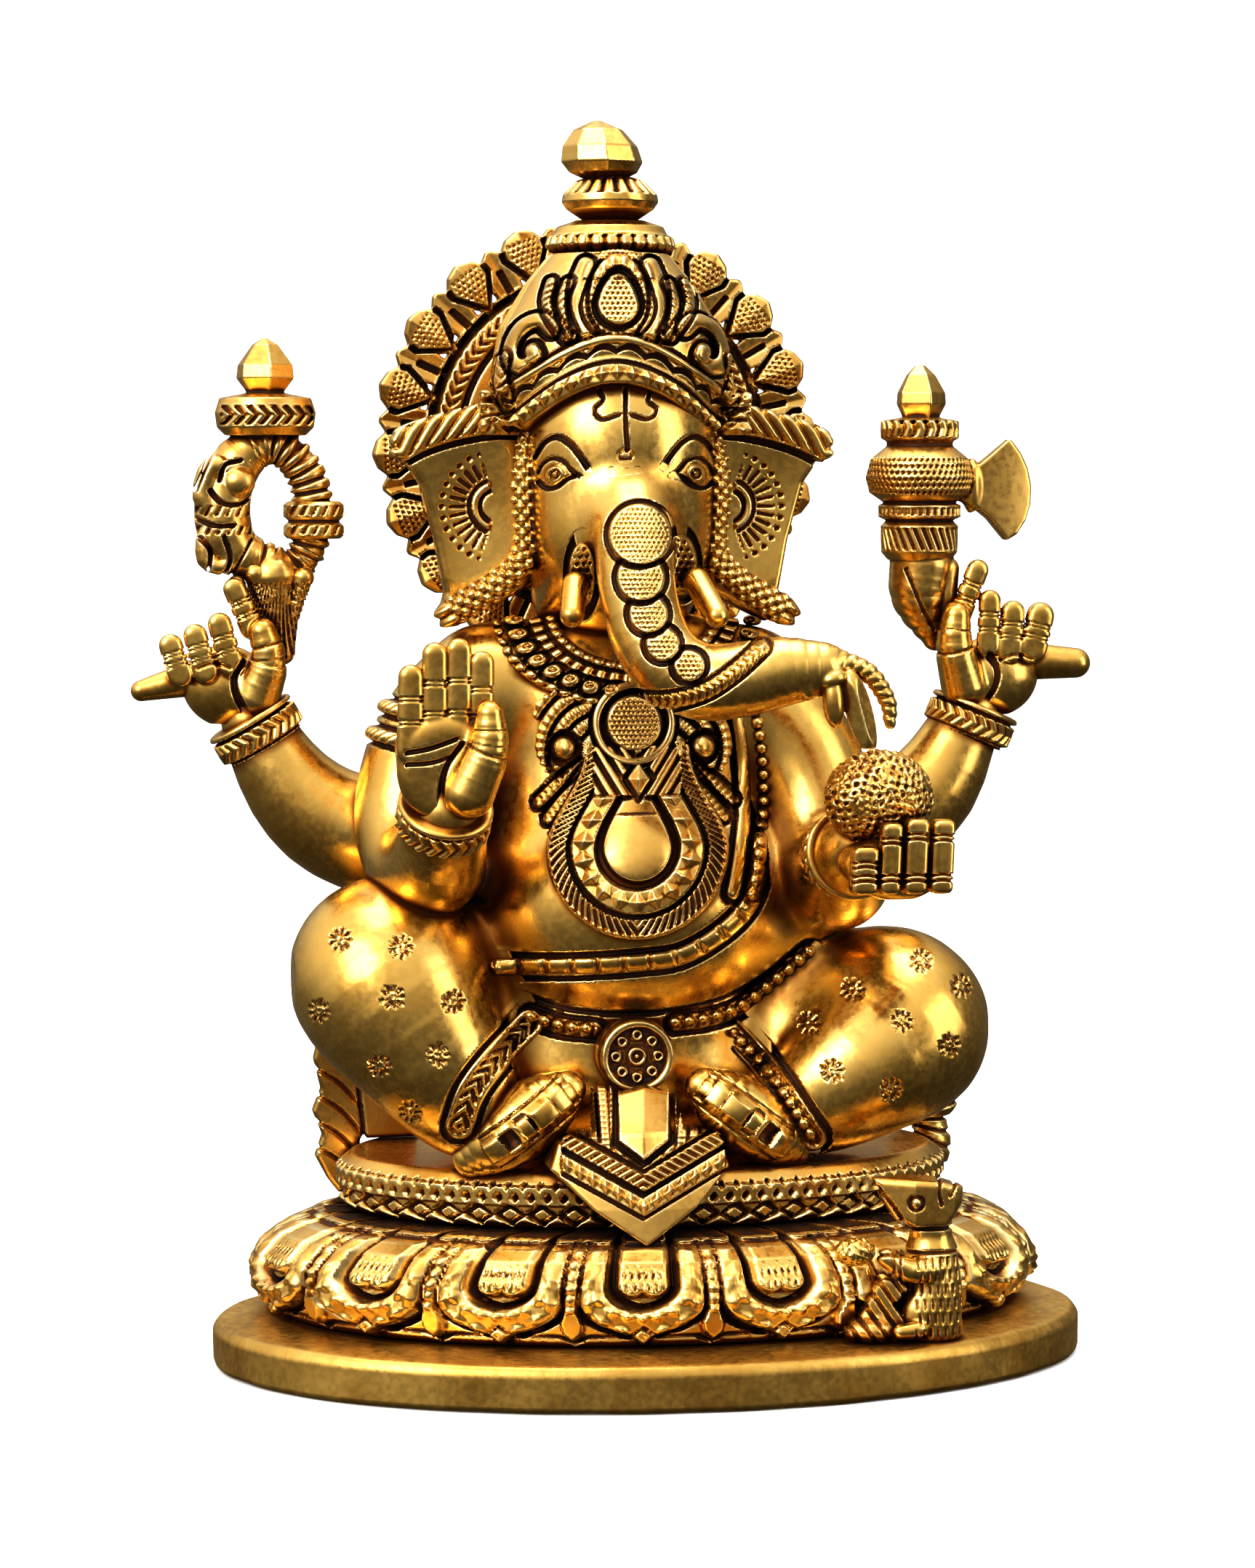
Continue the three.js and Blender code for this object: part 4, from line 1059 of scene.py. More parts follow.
BANGLE_R, BANGLE_CHEVRONS = 7.3, 22


def bangle(below, above):
    """A thick ring on a wrist between two places: a raised band of chevrons between two lips."""
    axis = np.array(above) - np.array(below)
    axis = axis / np.linalg.norm(axis)
    centre = (np.array(below) + np.array(above)) / 2
    side = np.cross(axis, (0, 1, 0))
    side = side / np.linalg.norm(side)
    front = np.cross(side, axis)

    def local(x, y, z):
        q = [x - centre[0], y - centre[1], z - centre[2]]
        u, v, t = (sum(part * float(k) for part, k in zip(q, direction)) for direction in (side, front, axis))
        return u, v, t

    def form(p):
        u, v, t = local(*p)
        r = hypot(u, v)
        ring = meet(1.2, r - BANGLE_R, np.abs(t) - 2.5)
        return union(0.8, ring, meet(0.6, r - BANGLE_R - 0.1, np.abs(t - 2.6) - 0.5))

    def relief(x, y, z):
        u, v, t = local(x, y, z)
        s = np.arctan2(u, v) * BANGLE_R
        pitch = 2 * math.pi * BANGLE_R / BANGLE_CHEVRONS
        h = groove(t - 1.9, 0.35, 0.5) + groove(t + 2.0, 0.35, 0.4)
        chevrons = ribs(s + 0.8 * np.abs(t), pitch, 0.55, 2)
        return h + np.where(np.abs(t) < 1.7, chevrons + 0.2, 0)
    return form, relief


NOOSE_X, AXE_X = -55.2, 52.6           # the middle of the noose's cap, and of the axe's shaft


def noose_form(p):
    """A ribbed eye of rope on a sheaf of leaves, with a swirl on its outer side and a cap with a bud."""
    z = 148.0
    eye = spline([(-52.5, REAR, 127, 2.6), (-60.5, REAR, 129.5, 4.2), (-62.2, REAR, 137, 4.5),
                  (-59.6, REAR, 143.6, 4.0), (-54.6, REAR, 146.4, 3.2), (-49.8, REAR, 143.4, 3.2),
                  (-47.6, REAR, 137, 3.4), (-48.4, REAR, 129.8, 3.2), (-51, REAR, 126, 2.8)])
    d, s, _ = tube(p, eye, full=True)
    ribbed = (s > 25) | (s < 7)
    d = d - np.where(ribbed, ribs(s, 1.75, 0.7, 2), 0)
    # The swirl: a comma over the outer side of the eye, and a scroll leaf under it.
    head = ball(p, (-59.7, REAR - 3.4, 140.3), (2.6, 2.0, 2.5))
    tail = limb(p, (-60, REAR - 2.8, 142, 1.5), (-63.8, REAR - 2.6, 142.8, 1.8),
                (-65.2, REAR - 2.2, 138, 1.9), (-62.8, REAR - 2.8, 134.6, 1.5))
    scroll = limb(p, (-61.4, REAR - 2.4, 132.8, 1.2), (-64.6, REAR - 2, 132.4, 1.5),
                  (-65, REAR - 2, 128, 1.5), (-62.2, REAR - 2.6, 126.8, 1.2), (-61, REAR - 2.8, 129.4, 0.9))
    d = union(0.15, d, head, tail, scroll)
    collar = lathe(p, -47.5, REAR, [(4.3, 131.2), (4.9, 131.8), (4.9, 133.2), (4.0, 134), (4.9, 134.8),
                                    (4.9, 136.6), (4.2, 137.2)])
    cap_outline = [(6.4, z), (7.6, z + 1.2), (7.9, z + 3.4), (7.2, z + 5.6), (3, z + 6.4)]
    cap = lathe(p, NOOSE_X, REAR, cap_outline) - 0.2
    bud_outline = [(2.4, z + 6.5), (4.1, z + 9), (3.9, z + 11), (1.8, z + 14.2), (0.1, z + 15.3)]
    bud = faceted(p, NOOSE_X, REAR, bud_outline, 6)
    d = union(0.3, d, collar, cap, bud)
    # The handle is a sheaf of leaves that opens upward.
    leaf_tips = ((-60.2, 124, 1.4), (-57.2, 125.6, 1.6), (-53.4, 126.4, 1.8), (-49.4, 125, 1.7))
    for tip_x, tip_z, width in leaf_tips:
        leaf = rod(p, (-52.8, REAR - 0.8, 113.4, 0.9), (tip_x, REAR - 2.6, tip_z, width))
        d = union(0.15, d, leaf)
    return union(0.3, d, rod(p, (-52.8, REAR, 113, 2.2), (-54, REAR, 125, 4.6)))


def noose_relief(x, y, z):
    h = np.where(np.abs(z - 151) < 1.5, ribs(x + 0.9 * np.abs(z - 151), 1.9, 0.7, 2), 0)
    h = h + np.where((np.abs(z - 132.6) < 0.7) | (np.abs(z - 135.7) < 0.8), ribs(x - 0.5 * z, 1.7, 0.5, 4), 0)
    h = h * ((np.abs(x - NOOSE_X) < 7.4) | (z < 140))
    h = h + np.where((z < 124) & (z > 112), groove(cell(x + 0.18 * (z - 113) * (x + 53), 1.25), 0.25, 0.5), 0)
    for points in NOOSE_CUTS:
        h = h + line(x, z, points, 0.4, 1.0)
    return np.where(y < REAR, h, 0)


NOOSE_CUTS = [[(-64.4, 139), (-62.6, 137), (-59.6, 136.8), (-57.4, 138.2)],
              [(-62.8, 140.6), (-62, 143), (-59.4, 143.8)], [(-66.6, 134.6), (-63.8, 133.4), (-60.6, 133.4)],
              [(-66, 131.4), (-64.4, 129.4), (-64.6, 126.4)], [(-63.4, 146.2), (-65.2, 142.4), (-66.6, 139)],
              [(-62.2, 131.6), (-61.2, 128), (-62.4, 125)]]


AXE_SHAFT = [(5.2, 127.6), (6.2, 128.8), (6.3, 133), (5.3, 134), (6.7, 134.6), (6.7, 136.4), (5.6, 136.8),
             (8.2, 138.6), (8.8, 141), (8.0, 144), (5.3, 146.2), (5.4, 147), (6.4, 147.6), (6.4, 150.2),
             (3, 150.8)]
AXE_BLADE = [(59, 141.4), (62, 142.2), (65, 144.6), (67.6, 146.8), (69.2, 144.8), (70.4, 142.4), (71, 139.6),
             (70.9, 136.8), (70.1, 134.2), (68.6, 132), (67.2, 131.2), (64.4, 134.6), (61.4, 137),
             (59, 137.8)]


def axe_form(p):
    """A turned shaft with a bud on top, a horn below it and a thin flared blade."""
    shaft = lathe(p, AXE_X, REAR, AXE_SHAFT) - 0.1
    bud_outline = [(2.0, 150.6), (3.1, 153.2), (3.0, 154.8), (1.7, 157.6), (0.5, 159)]
    bud = faceted(p, AXE_X, REAR, bud_outline, 5) - 0.3
    horn = limb(p, (53, REAR, 126.6, 5.3), (52.6, REAR, 121.5, 4.6), (55.4, REAR, 114.6, 2.2))
    husk = limb(p, (57, REAR - 1.4, 126, 2), (56.6, REAR - 1.6, 120, 1.8), (55.6, REAR - 1, 115, 1.2))
    blade = polygon(p[0], p[2], AXE_BLADE) - 0.5
    thick = 1.9 - 1.5 * np.clip((p[0] - 61) / 11.5, 0, 1) ** 2
    blade = meet(0.5, blade, np.abs(p[1] - REAR) - thick)
    stem = ball(p, (61.4, REAR, 139.6), (1.6, 2.6, 4.6))
    return union(0.3, shaft, bud, union(0.2, horn, husk), union(0.6, blade, stem))


def axe_relief(x, y, z):
    a = np.arctan2(x - AXE_X, REAR - y)
    h = np.where((z > 138.2) & (z < 144.6) & (x < 61), stipple(a * 8.6, z, 1.05, 0.5), 0)
    h = h + np.where(np.abs(z - 149) < 1.3, ribs(a * 6.4 + 0.4 * np.abs(z - 149), 2.2, 0.7, 2), 0)
    h = h + np.where(np.abs(z - 130.9) < 1.8, ribs(a * 6.3 + 0.45 * (z - 130.9), 1.5, 0.6, 3), 0)
    h = h + np.where(np.abs(z - 135.5) < 0.6, ribs(a * 6.7, 1.3, 0.5), 0)
    h = h + line(x, z, [(49.5, 126), (52, 120), (54.6, 116)], 0.3, 0.5) * (y < REAR)
    return np.where(x < 62.4, h, 0)


def sweet_form(p):
    return ball(p, (36.6, -34.4, 91.4), (8.6, 7, 7.6))


def grain(x, y, z, size, height):
    """An even, close grain of round lumps."""
    u, v, w = x / size, y / size, z / size
    first, second = np.sin(u * 5.1 + 1.7 * np.sin(v * 3.3)), np.sin(v * 4.7 + 1.9 * np.sin(w * 2.9))
    return height * (first * second * np.sin(w * 5.3 + 1.3 * np.sin(u * 3.7)))


def sweet_relief(x, y, z):
    pits = stipple(x + 0.3 * np.sin(z), z + 0.3 * np.sin(1.3 * x), 1.25, 0.45)
    return grain(x, y, z, 1.6, 0.28) + pits * (np.sin(0.9 * x) * np.sin(0.7 * z + 1) > -0.35)


# ---- Cloth ends and the mouse ----

def right_cloth(p):
    low, high = room("right_cloth_end")
    leaf = [(-31, 33.2), (-40.4, 33), (-40.8, 24.4), (-43.6, 24.2), (-45.4, 26.6), (-47.2, 30), (-46, 33.4),
            (-47.6, 37.4), (-46.2, 41), (-47.4, 46), (-46.2, 51), (-46.6, 58), (-33, 50)]
    return meet(0.8, polygon(p[0], p[2], leaf) - 0.3, np.abs(p[1] - (low[1] + high[1]) / 2) - 1.75)


def right_cloth_relief(x, y, z):
    h = 0
    for k in range(6):
        top = 30 + 4.3 * k
        h = h + line(x, z, [(-40, top - 5), (-43.4, top - 1), (-47.4, top + 1.6)], 0.35, 0.5)
    return h + line(x, z, [(-39.5, 33), (-41, 45), (-44, 56)], 0.45, 0.6)


def left_cloth(p):
    return union(1.5, ball(p, (54.5, 12, 38.2), (6.4, 4.6, 5.6)), ball(p, (56, 12, 29.5), (3.4, 3.6, 5.4)))


def left_cloth_relief(x, y, z):
    a = np.arctan2(z - 34, x - 48)
    return groove(cell(a * 9, 2.0), 0.35, 0.6)


def mouse_form(p):
    body = limb(p, (44.4, -38.4, 9, 5), (44.5, -38.6, 15, 4.7), (44.4, -38.6, 20.4, 4.2))
    neck = rod(p, (44.4, -38.6, 20, 3.3), (44.2, -38.6, 25.6, 3.4))
    # A flat-sided wedge of a head, with the nose up and to the figure's right and an ear at the other end.
    side = polygon(p[0], p[2], [(34.6, 32.8), (40, 32.6), (45.4, 32.2), (49, 31.2), (48.8, 28.6), (46, 25),
                                (41.4, 24.8), (38.4, 26.2), (36.2, 29.4)])
    half = np.interp(p[0], [34.6, 41, 47, 49], [0.9, 3.8, 3.8, 2.4]).astype(DIGITS)
    head = meet(1.2, side, np.abs(p[1] + 38.8) - half)
    leg = limb(p, (43.4, -41.6, 18.6, 2.3), (39.6, -43, 18.8, 1.9), (36.2, -43, 20.8, 1.5))
    thigh = ball(p, (42.4, -41.0, 11.6), (3.2, 2.6, 4.4), -20)
    foot = rod(p, (41.4, -43.2, 9.4, 1.5), (38.4, -43.6, 9.2, 1.2))
    d = union(0.5, union(0.6, body, neck, thigh), head, leg, foot)
    return np.maximum(d, PLATE_HIGH[2] + 0.1 - p[2])


def mouse_relief(x, y, z):
    u, v = facing(x, y, z, -42)
    r = hypot(u - 41.2, v - 29)
    h = groove(r - 1.1, 0.3, 0.5) + ridge(r, 0.7, 0.4)
    h = h + line(u, v, [(45, 32.6), (44.8, 30.4), (45.2, 28.6)], 0.3, 0.5)
    h = h + line(u, v, [(47.4, 31.6), (46.6, 30)], 0.3, 0.5)
    h = h + line(u, v, [(35.2, 31.4), (37.6, 28.6), (39.4, 25.8)], 0.3, 0.5) + groove(v - 24.9, 0.4, 0.6)
    h = h + np.where(v < 22, groove(v - 21.2, 0.35, 0.5), 0)
    fur = groove(cell(x + 0.43 * np.round(z / 2.2), 1.25), 0.26, 0.3)
    fur = fur * np.clip(1.0 - np.abs(cell(z, 2.2)), 0, 0.5) * 2
    cuffs = groove(u - 37.6, 0.25, 0.4) + groove(u - 38.6, 0.25, 0.4)
    return h + np.where((v < 20.6) & (x > 40.6), fur, 0) + np.where((v < 22) & (v > 16), cuffs, 0)


def lump_form(p):
    """The cloth beside the mouse: a wavy leaf that stands up from the plate."""
    low, high = room("mouse_tail_cloth")
    c = (low + high) / 2
    edge = 0.8 * np.sin(1.3 * p[2])
    leaf = meet(0.8, p[0] - c[0] - 3.6 - edge, c[0] - 4.6 - p[0] + 0.5 * (p[2] - low[2]),
                low[2] - 0.2 - p[2], p[2] - high[2] - 1.4)
    leaf = meet(0.8, leaf, np.abs(p[1] - c[1] - 0.5 + 0.25 * (p[0] - c[0])) - 2.2)
    return union(0.8, leaf, ball(p, (c[0] - 0.8, c[1] - 0.4, low[2] + 1.6), (4.6, 3.4, 2.2)))


def lump_relief(x, y, z):
    return groove(cell(x * 0.9 + 0.6 * z, 2.1), 0.35, 0.5)


# ---- Every casting: its CAD node, its form, the relief on it and its voxel in mm ----

REAR_RIGHT_RING = bangle((-56, REAR, 98.8), (-57.3, REAR, 101))
REAR_LEFT_RING = bangle((60.8, REAR, 99.4), (61.7, REAR, 101.6))
FRONT_RIGHT_RING = bangle((-30.6, -25.6, 87.4), (-30.4, -27.4, 89.6))
FRONT_LEFT_RING = bangle((33.7, -23, 81), (33.9, -25.4, 81.7))
ARMS = [smooth_limb(path) for path in (REAR_RIGHT_ARM, REAR_LEFT_ARM, FRONT_RIGHT_ARM, FRONT_LEFT_ARM)]
LEGS = [smooth_limb(RIGHT_LEG), smooth_limb(LEFT_LEG)]
LOWER_TIER = [(8.4, 176.8), (9.8, 177.2), (10.6, 178.2), (10.2, 179.4), (9.2, 180), (8.6, 181.2),
              (5.6, 182.2)]
UPPER_TIER = [(4.4, 182.3), (7.0, 184), (7.8, 185.2), (7.6, 186.4), (5.4, 188.6), (3.4, 189.2)]
FINIAL = [(3.0, 189), (5.0, 190), (6.0, 191.6), (5.5, 194), (3.6, 196.6), (0.6, 198)]
RIGHT_EAR, LEFT_EAR = ear_form(-1), ear_form(1)


def plate_relief(x, y, z):
    return grain(x, y, z, 22, 0.12)


def small_sweet(p):
    return ball(p, middle("mouse_sweet"), (3.2, 2.4, 2.2))


def small_sweet_relief(x, y, z):
    return grain(x, y, z, 1.4, 0.25)


def finial_form(p):
    return faceted(p, -1.0, 2, FINIAL, 8, lean=-0.12)


def noose_tail_form(p):
    return rod(p, (-66, 8.6, 109, 3.1), (-75.4, 8.4, 106.8, 1.7))


def axe_butt_form(p):
    return rod(p, (70, 8.6, 110.6, 3.2), (79.4, 8.4, 110.2, 2.5))


CASTINGS = {
    "base_plate": (hollowed(drum(PLATE_LOW, PLATE_HIGH, PLATE_SHARE)), plate_relief, 0.6),
    "lotus_base": (hollowed(drum(LOTUS_LOW, LOTUS_HIGH, LOTUS_SHARE)), lotus_relief, 0.42),
    "seat_cushion": (drum(SEAT_LOW, SEAT_HIGH, SEAT_SHARE), cushion_relief, 0.36),
    "torso": (flowing(torso_form, *ARMS, *LEGS), torso_relief, 0.4),
    "right_leg": (flowing(LEGS[0], torso_form), anklet(RIGHT_ANKLE, False), 0.42),
    "left_leg": (flowing(LEGS[1], torso_form), anklet(LEFT_ANKLE, True), 0.42),
    "right_foot": (foot_form(-1), None, 0.3),
    "left_foot": (foot_form(1), None, 0.3),
    "belly_pendant": (laid_on(torso_form, 2.2, pendant_region), pendant_relief, 0.27),
    "necklace": (laid_on(torso_form, 2.0, collar_region), collar_relief, 0.27),
    "chest_jewel": (laid_on(torso_form, 1.8, jewel_region), jewel_relief, 0.27),
    "belt_buckle": (buckle_form, buckle_relief, 0.24),
    "front_drape": (drape_form, drape_relief, 0.27),
    "head": (head_form, None, 0.3),
    "trunk": (trunk_form, None, 0.27),
    "right_tusk": (tusk_form("right_tusk"), None, 0.3),
    "left_tusk": (tusk_form("left_tusk"), None, 0.3),
    "crown": (crown_form, crown_relief, 0.27),
    "crown_lower_tier": (tier_form(LOWER_TIER, 0, 2, 26, (177, 179.6), 0.7), None, 0.27),
    "crown_upper_tier": (tier_form(UPPER_TIER, 0, 2, 18, (186.4, 188.8), 0.8), None, 0.27),
    "crown_finial": (finial_form, None, 0.27),
    "halo": (halo_form, halo_relief, 0.33),
    "right_ear": (*RIGHT_EAR, 0.3),
    "left_ear": (*LEFT_EAR, 0.3),
    "rear_right_arm": (flowing(ARMS[0], torso_form), None, 0.45),
    "rear_left_arm": (flowing(ARMS[1], torso_form), None, 0.45),
    "front_right_arm": (flowing(ARMS[2], torso_form), armlet_relief, 0.4),
    "front_left_arm": (flowing(ARMS[3], torso_form), None, 0.45),
    "rear_right_bangle": (*REAR_RIGHT_RING, 0.3),
    "rear_left_bangle": (*REAR_LEFT_RING, 0.3),
    "front_right_bangle": (*FRONT_RIGHT_RING, 0.3),
    "front_left_bangle": (*FRONT_LEFT_RING, 0.3),
    "rear_right_hand": (rear_right_hand, rear_palm_relief(-62, 108), 0.28),
    "rear_left_hand": (rear_left_hand, rear_palm_relief(66, 108.5), 0.28),
    "front_right_hand": (front_right_hand, front_palm_relief, 0.28),
    "front_left_hand": (front_left_hand, None, 0.28),
    "noose": (noose_form, noose_relief, 0.27),
    "noose_tail": (noose_tail_form, None, 0.35),
    "axe": (axe_form, axe_relief, 0.27),
    "axe_butt": (axe_butt_form, None, 0.35),
    "sweet_ball": (sweet_form, sweet_relief, 0.3),
    "right_cloth_end": (right_cloth, right_cloth_relief, 0.35),
    "left_cloth_end": (left_cloth, left_cloth_relief, 0.35),
    "mouse": (mouse_form, mouse_relief, 0.27),
    "mouse_sweet": (small_sweet, small_sweet_relief, 0.3),
    "mouse_tail_cloth": (lump_form, lump_relief, 0.3),
}
OUT_OF_BOX = 2.2                       # how far a piece may stand out of its node's box
ROUND_BOX = 2.6                        # how far out of it the piece is looked for
WIDER = {"head": (12, 0, 0), "right_cloth_end": (4, 0, 0), "torso": (5, 0, 0)}     # how much more these may
BOXES = {name: room(name) for name in CASTINGS}
for name, more in WIDER.items():
    BOXES[name] = [BOXES[name][0] - more, BOXES[name][1] + more]


def carved(name):
    """The casting's whole shape, kept to its own room."""
    form, relief, _ = CASTINGS[name]
    low, high = BOXES[name]
    middle_of = ((low + high) / 2)[:, None].astype(DIGITS)
    half = ((high - low) / 2 + OUT_OF_BOX)[:, None].astype(DIGITS)

    def shape(p):
        d = form(p)
        if relief:
            d = relieved(d, p, relief)
        return np.maximum(d, (np.abs(p - middle_of) - half).max(0))
    return shape


NEAR_REACH, WIDE_REACH = 0.6, 1.7      # how far round a point its hollows are judged
CONTACT_SHADE_REACH = 1.7                         # another casting nearer than this darkens a place with painted shade


def oxide_wear_and_shade(name, points, normals):
    """How hollow, how worn and how close to another casting each point is, from 0 to 1. Hollowness darkens as
    dark oxide in the fine engraved lines and as painted shade in the wider hollows; closeness to another
    casting is painted shade between parts; wear pales the rubbed edges.
    """
    shape = carved(name)
    corners = np.array([(i, j, k) for i in (-1, 1) for j in (-1, 1) for k in (-1, 1)], DIGITS)

    def mean(reach):
        taps = points[:, None, :] + reach * corners.T[:, :, None] / 1.73
        return evaluate(shape, taps.reshape(3, -1)).reshape(8, -1).mean(0)
    close, wide = mean(NEAR_REACH), mean(WIDE_REACH)
    # Painted shade and oxide: the fine lines (close reach) hold dark oxide, the wider hollows (wide reach)
    # get painted shade.
    hollow = np.clip(-close / 0.16, 0, 1) * 0.7 + np.clip(-wide / 0.5, 0, 1) * 0.6
    worn = np.clip((close - 0.06) / 0.16, 0, 1)
    # Painted shade between castings: a place darkens where another casting stands close in front of it.
    crowded = np.zeros_like(hollow)
    probe = points + normals * 1.3
    for other, (form, _, _) in CASTINGS.items():
        low, high = BOXES[other]
        if other == name:
            continue
        inside = np.all((probe.T > low - OUT_OF_BOX) & (probe.T < high + OUT_OF_BOX), axis=1)
        if inside.any():
            gap = evaluate(form, probe[:, inside])
            crowded[inside] = np.maximum(crowded[inside], np.clip(1 - gap / CONTACT_SHADE_REACH, 0, 1))
    return np.clip(hollow, 0, 1), worn, crowded


def mesh_object(name, points, quads, normals, **attributes):
    mesh = bpy.data.meshes.new(name)
    mesh.vertices.add(points.shape[1])
    mesh.vertices.foreach_set("co", ((points.T + FIGURE) * MM).astype(DIGITS).ravel())
    a, b, c, d = (points.T[quads[:, i]] for i in range(4))
    if np.einsum("ij,ij->i", np.cross(c - a, d - b), a).sum() < 0:
        quads = quads[:, ::-1]
    mesh.loops.add(quads.size)
    mesh.loops.foreach_set("vertex_index", quads.astype(np.int32).ravel())
    mesh.polygons.add(len(quads))
    mesh.polygons.foreach_set("loop_start", np.arange(len(quads), dtype=np.int32) * 4)
    mesh.update(calc_edges=True)
    mesh.polygons.foreach_set("use_smooth", np.ones(len(quads), bool))
    mesh.normals_split_custom_set_from_vertices(normals.T)
    for key, values in attributes.items():
        mesh.attributes.new(key, "FLOAT", "POINT").data.foreach_set("value", values.astype(DIGITS))
    piece = bpy.data.objects.new(name, mesh)
    bpy.context.collection.objects.link(piece)
    return piece


# ---- Brass ----

def ramp(tree, value, low, high, to_low=0.0, to_high=1.0):
    node = tree.nodes.new("ShaderNodeMapRange")
    node.interpolation_type = "SMOOTHSTEP"
    tree.links.new(value, node.inputs["Value"])
    for key, number in zip(("From Min", "From Max", "To Min", "To Max"), (low, high, to_low, to_high)):
        node.inputs[key].default_value = number
    return node.outputs["Result"]


def maths(tree, operation, *values):
    node = tree.nodes.new("ShaderNodeMath")
    node.operation = operation
    for socket, value in zip(node.inputs, values):
        if isinstance(value, (int, float)):
            socket.default_value = value
        else:
            tree.links.new(value, socket)
    return node.outputs[0]


def mixed(tree, share_in, first, second):
    node = tree.nodes.new("ShaderNodeMix")
    node.data_type = "RGBA"
    sockets = (node.inputs["Factor"], node.inputs[6], node.inputs[7])
    for socket, value in zip(sockets, (share_in, first, second)):
        if isinstance(value, (float, tuple)):
            socket.default_value = value
        else:
            tree.links.new(value, socket)
    return node.outputs[2]


def noise(tree, scale, detail=3.0, stretch=(1, 1, 1)):
    """Noise in the object's own place, so that it doesn't move with the camera."""
    place = tree.nodes.new("ShaderNodeTexCoord")
    mapping = tree.nodes.new("ShaderNodeMapping")
    mapping.inputs["Scale"].default_value = stretch
    pattern = tree.nodes.new("ShaderNodeTexNoise")
    pattern.inputs["Scale"].default_value = scale
    pattern.inputs["Detail"].default_value = detail
    tree.links.new(place.outputs["Object"], mapping.inputs["Vector"])
    tree.links.new(mapping.outputs["Vector"], pattern.inputs["Vector"])
    return pattern.outputs["Fac"]


def attribute(tree, name):
    node = tree.nodes.new("ShaderNodeAttribute")
    node.attribute_name = name
    return node.outputs["Fac"]


# The pale tint of rubbed edges, and the near-black of dark oxide and painted shade in the deepest hollows and
# seams.
WORN_TINT, BLACK_TINT = (1.0, 0.86, 0.5, 1), (0.02, 0.008, 0.004, 1)
CUT_DEPTH = 0.0001                     # of the tool marks, in metres


def brass(name, bright, deep, rough, oxide_and_shade_brown, strokes=(1, 1, 0.35), cut=0.3):
    """Antiqued brass: pale bare metal on rubbed edges; brown going to black in hollows and where castings
    meet, which is dark oxide in the fine lines and painted shade in the wider hollows and between castings.
    """
    material = bpy.data.materials.new(name)
    material.use_nodes = True
    tree = material.node_tree
    shader = tree.nodes["Principled BSDF"]
    blotch = noise(tree, 90, 4)
    fine = noise(tree, 900, 3)
    # Painted shade and oxide: hollowness and nearness to other castings, with some blotches, turn the metal
    # brown, then black and less metallic.
    crowded = maths(tree, "MULTIPLY", attribute(tree, "crowded"), 0.8)
    hollow = maths(tree, "ADD", attribute(tree, "hollow"), crowded)
    oxide_shade_and_blotches = maths(tree, "ADD", hollow, maths(tree, "MULTIPLY", maths(tree, "SUBTRACT", blotch, 0.5), 0.5))
    brown = ramp(tree, oxide_shade_and_blotches, 0.15, 0.75)
    black = ramp(tree, oxide_shade_and_blotches, 0.55, 1.1)
    tint = mixed(tree, ramp(tree, blotch, 0.35, 0.7), bright, deep)
    tint = mixed(tree, maths(tree, "MULTIPLY", attribute(tree, "worn"), 0.6), tint, WORN_TINT)
    tint = mixed(tree, brown, tint, oxide_and_shade_brown)
    tint = mixed(tree, black, tint, BLACK_TINT)
    tree.links.new(tint, shader.inputs["Base Color"])
    tree.links.new(ramp(tree, black, 0.0, 1.0, 1.0, 0.25), shader.inputs["Metallic"])
    polish = maths(tree, "ADD", ramp(tree, fine, 0.3, 0.7, rough - 0.05, rough + 0.07),
                   maths(tree, "MULTIPLY", brown, 0.25))
    tree.links.new(polish, shader.inputs["Roughness"])
    bump = tree.nodes.new("ShaderNodeBump")
    bump.inputs["Strength"].default_value = cut
    bump.inputs["Distance"].default_value = CUT_DEPTH
    tree.links.new(noise(tree, 500, 4, strokes), bump.inputs["Height"])
    tree.links.new(bump.outputs["Normal"], shader.inputs["Normal"])
    return material


# Each finish: bright and deep metal, roughness, and the brown of dark oxide and painted shade in hollows and
# between castings.
FINISHES = {
    "polished_brass": brass("polished_brass", (0.86, 0.57, 0.18, 1), (0.76, 0.46, 0.12, 1), 0.25,
                            (0.22, 0.065, 0.008, 1)),
    "chased_brass": brass("chased_brass", (0.84, 0.54, 0.17, 1), (0.70, 0.40, 0.10, 1), 0.29,
                          (0.20, 0.06, 0.008, 1)),
    "filed_brass": brass("filed_brass", (0.72, 0.47, 0.14, 1), (0.55, 0.32, 0.08, 1), 0.40,
                         (0.22, 0.09, 0.015, 1), (1, 1, 0.06), 0.9),
}
SLOT_OF = {part["node"]: part["material_slot"] for part in frame["record"]["subparts"]}

for name, (_, _, voxel) in CASTINGS.items():
    low, high = BOXES[name]
    points, quads, normals = sculpted(carved(name), low - ROUND_BOX, high + ROUND_BOX, voxel * QUICK_VOXEL)
    # Dark oxide, painted shade and rubbed edges at each point, stored on the mesh for the brass.
    hollow, worn, crowded = oxide_wear_and_shade(name, points, normals)
    piece = mesh_object("look_" + name, points, quads, normals, hollow=hollow, worn=worn, crowded=crowded)
    slot = SLOT_OF[name]
    piece.data.materials.append(FINISHES[slot])
    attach(piece, "root")
    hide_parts(name)


# ---- Studio: a white floor and surround, two large soft lights and one above, and the camera ----

CHEST_PLACE = (0, 0, 0.1)
PAPER_WHITE = (0.97, 0.97, 0.97, 1)
SURROUND = (1.06, 1.06, 1.06, 1)       # seen directly, a little over white
UPHILL = (-0.3, -0.1, 0.95)            # the way the room grows paler
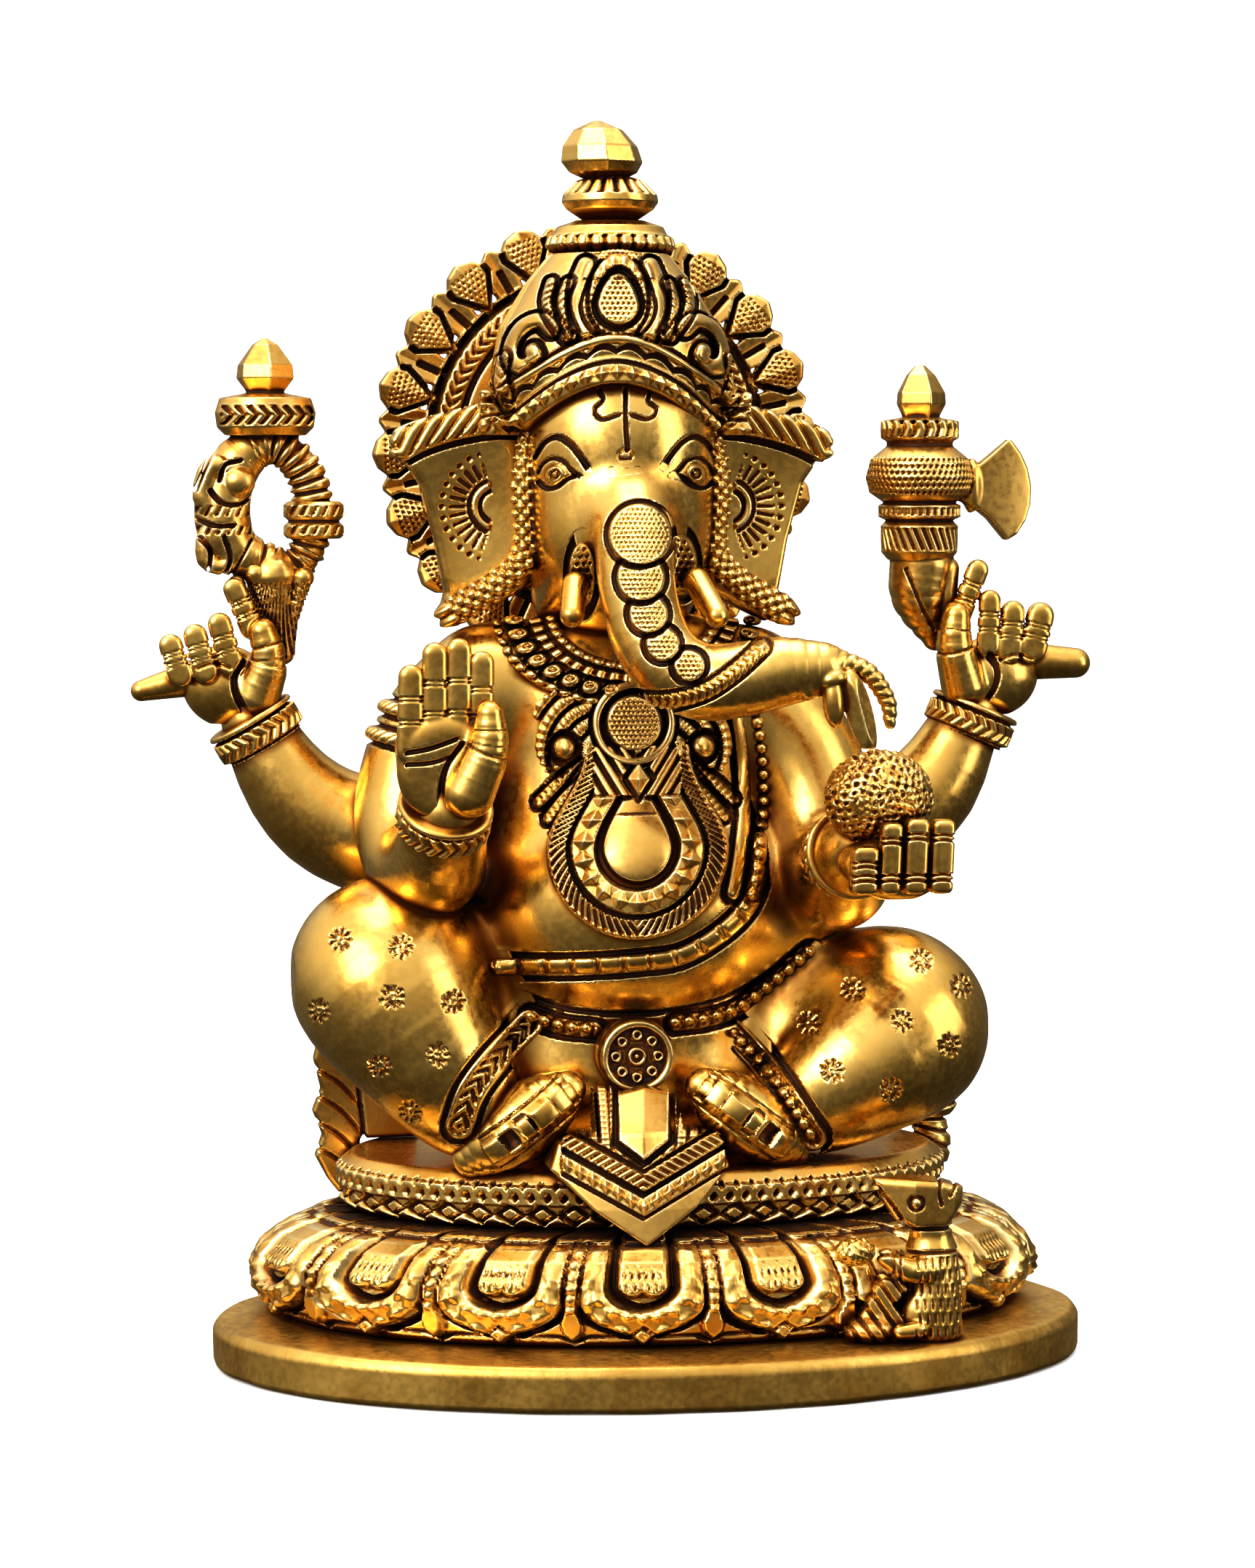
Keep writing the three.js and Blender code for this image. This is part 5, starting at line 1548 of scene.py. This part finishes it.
# Places up that way, from 0 at the bottom to 1 at the top, and the grey there.
ROOM_SHADES = [(0.0, 0.05), (1.0, 0.62), (0.5, 0.16), (0.7, 0.43)]
CAMERA_PLACE, CAMERA_AIM = (-103.9, -672, 142), (2.47, -0.39, 91.5)      # in mm, in the figure's own place
LENS = 96.6


def soft_light(name, place, size, power):
    """A soft light that points at the chest."""
    lamp = bpy.data.lights.new(name, "AREA")
    lamp.shape = "RECTANGLE"
    lamp.size, lamp.size_y = size
    lamp.energy = power
    light = bpy.data.objects.new(name, lamp)
    bpy.context.collection.objects.link(light)
    light.location = place
    light.rotation_euler = (Vector(CHEST_PLACE) - Vector(place)).to_track_quat("-Z", "Y").to_euler()


bpy.ops.mesh.primitive_plane_add(size=8, location=(0, 0, -0.0002))
floor = bpy.context.object
floor.name = "floor"
floor.visible_glossy = False
paper = bpy.data.materials.new("paper")
paper.use_nodes = True
paper_shader = paper.node_tree.nodes["Principled BSDF"]
paper_shader.inputs["Base Color"].default_value = PAPER_WHITE
paper_shader.inputs["Roughness"].default_value = 0.9
floor.data.materials.append(paper)


def studio_world():
    """White paper all round, and a dim room that only the metal reflects: dark below and paler above."""
    world = bpy.data.worlds.new("studio")
    world.use_nodes = True
    tree = world.node_tree
    place = tree.nodes.new("ShaderNodeTexCoord")
    height = tree.nodes.new("ShaderNodeVectorMath")
    height.operation = "DOT_PRODUCT"
    tree.links.new(place.outputs["Generated"], height.inputs[0])
    height.inputs[1].default_value = UPHILL
    shades = tree.nodes.new("ShaderNodeValToRGB")
    tree.links.new(ramp(tree, height.outputs["Value"], -1, 1), shades.inputs["Fac"])
    stops = shades.color_ramp.elements
    for stop, (at, grey) in zip((stops[0], stops[1], stops.new(0.5), stops.new(0.7)), ROOM_SHADES):
        stop.position = at
        stop.color = (grey, grey * 0.97, grey * 0.9, 1)
    path = tree.nodes.new("ShaderNodeLightPath")
    sky = tree.nodes["Background"]
    seen = mixed(tree, path.outputs["Is Glossy Ray"], SURROUND, shades.outputs["Color"])
    tree.links.new(seen, sky.inputs["Color"])
    bpy.context.scene.world = world


studio_world()
soft_light("key", (-0.55, -0.5, 0.5), (0.5, 0.5), 3.3)
soft_light("fill", (0.65, -0.4, 0.3), (0.4, 0.6), 1.3)
soft_light("top", (0, 0.05, 0.8), (0.6, 0.6), 3)

camera = bpy.data.cameras.new("camera")
camera.sensor_fit = "VERTICAL"
camera.sensor_height = 36
camera.lens = LENS
eye = bpy.data.objects.new("camera", camera)
bpy.context.collection.objects.link(eye)
stand, target = (Vector((np.array(point) + FIGURE) * MM) for point in (CAMERA_PLACE, CAMERA_AIM))
eye.location = stand
eye.rotation_euler = (target - stand).to_track_quat("-Z", "Y").to_euler()
bpy.context.scene.camera = eye
bpy.context.scene.view_settings.view_transform = "Standard"
bpy.context.scene.view_settings.look = "High Contrast"
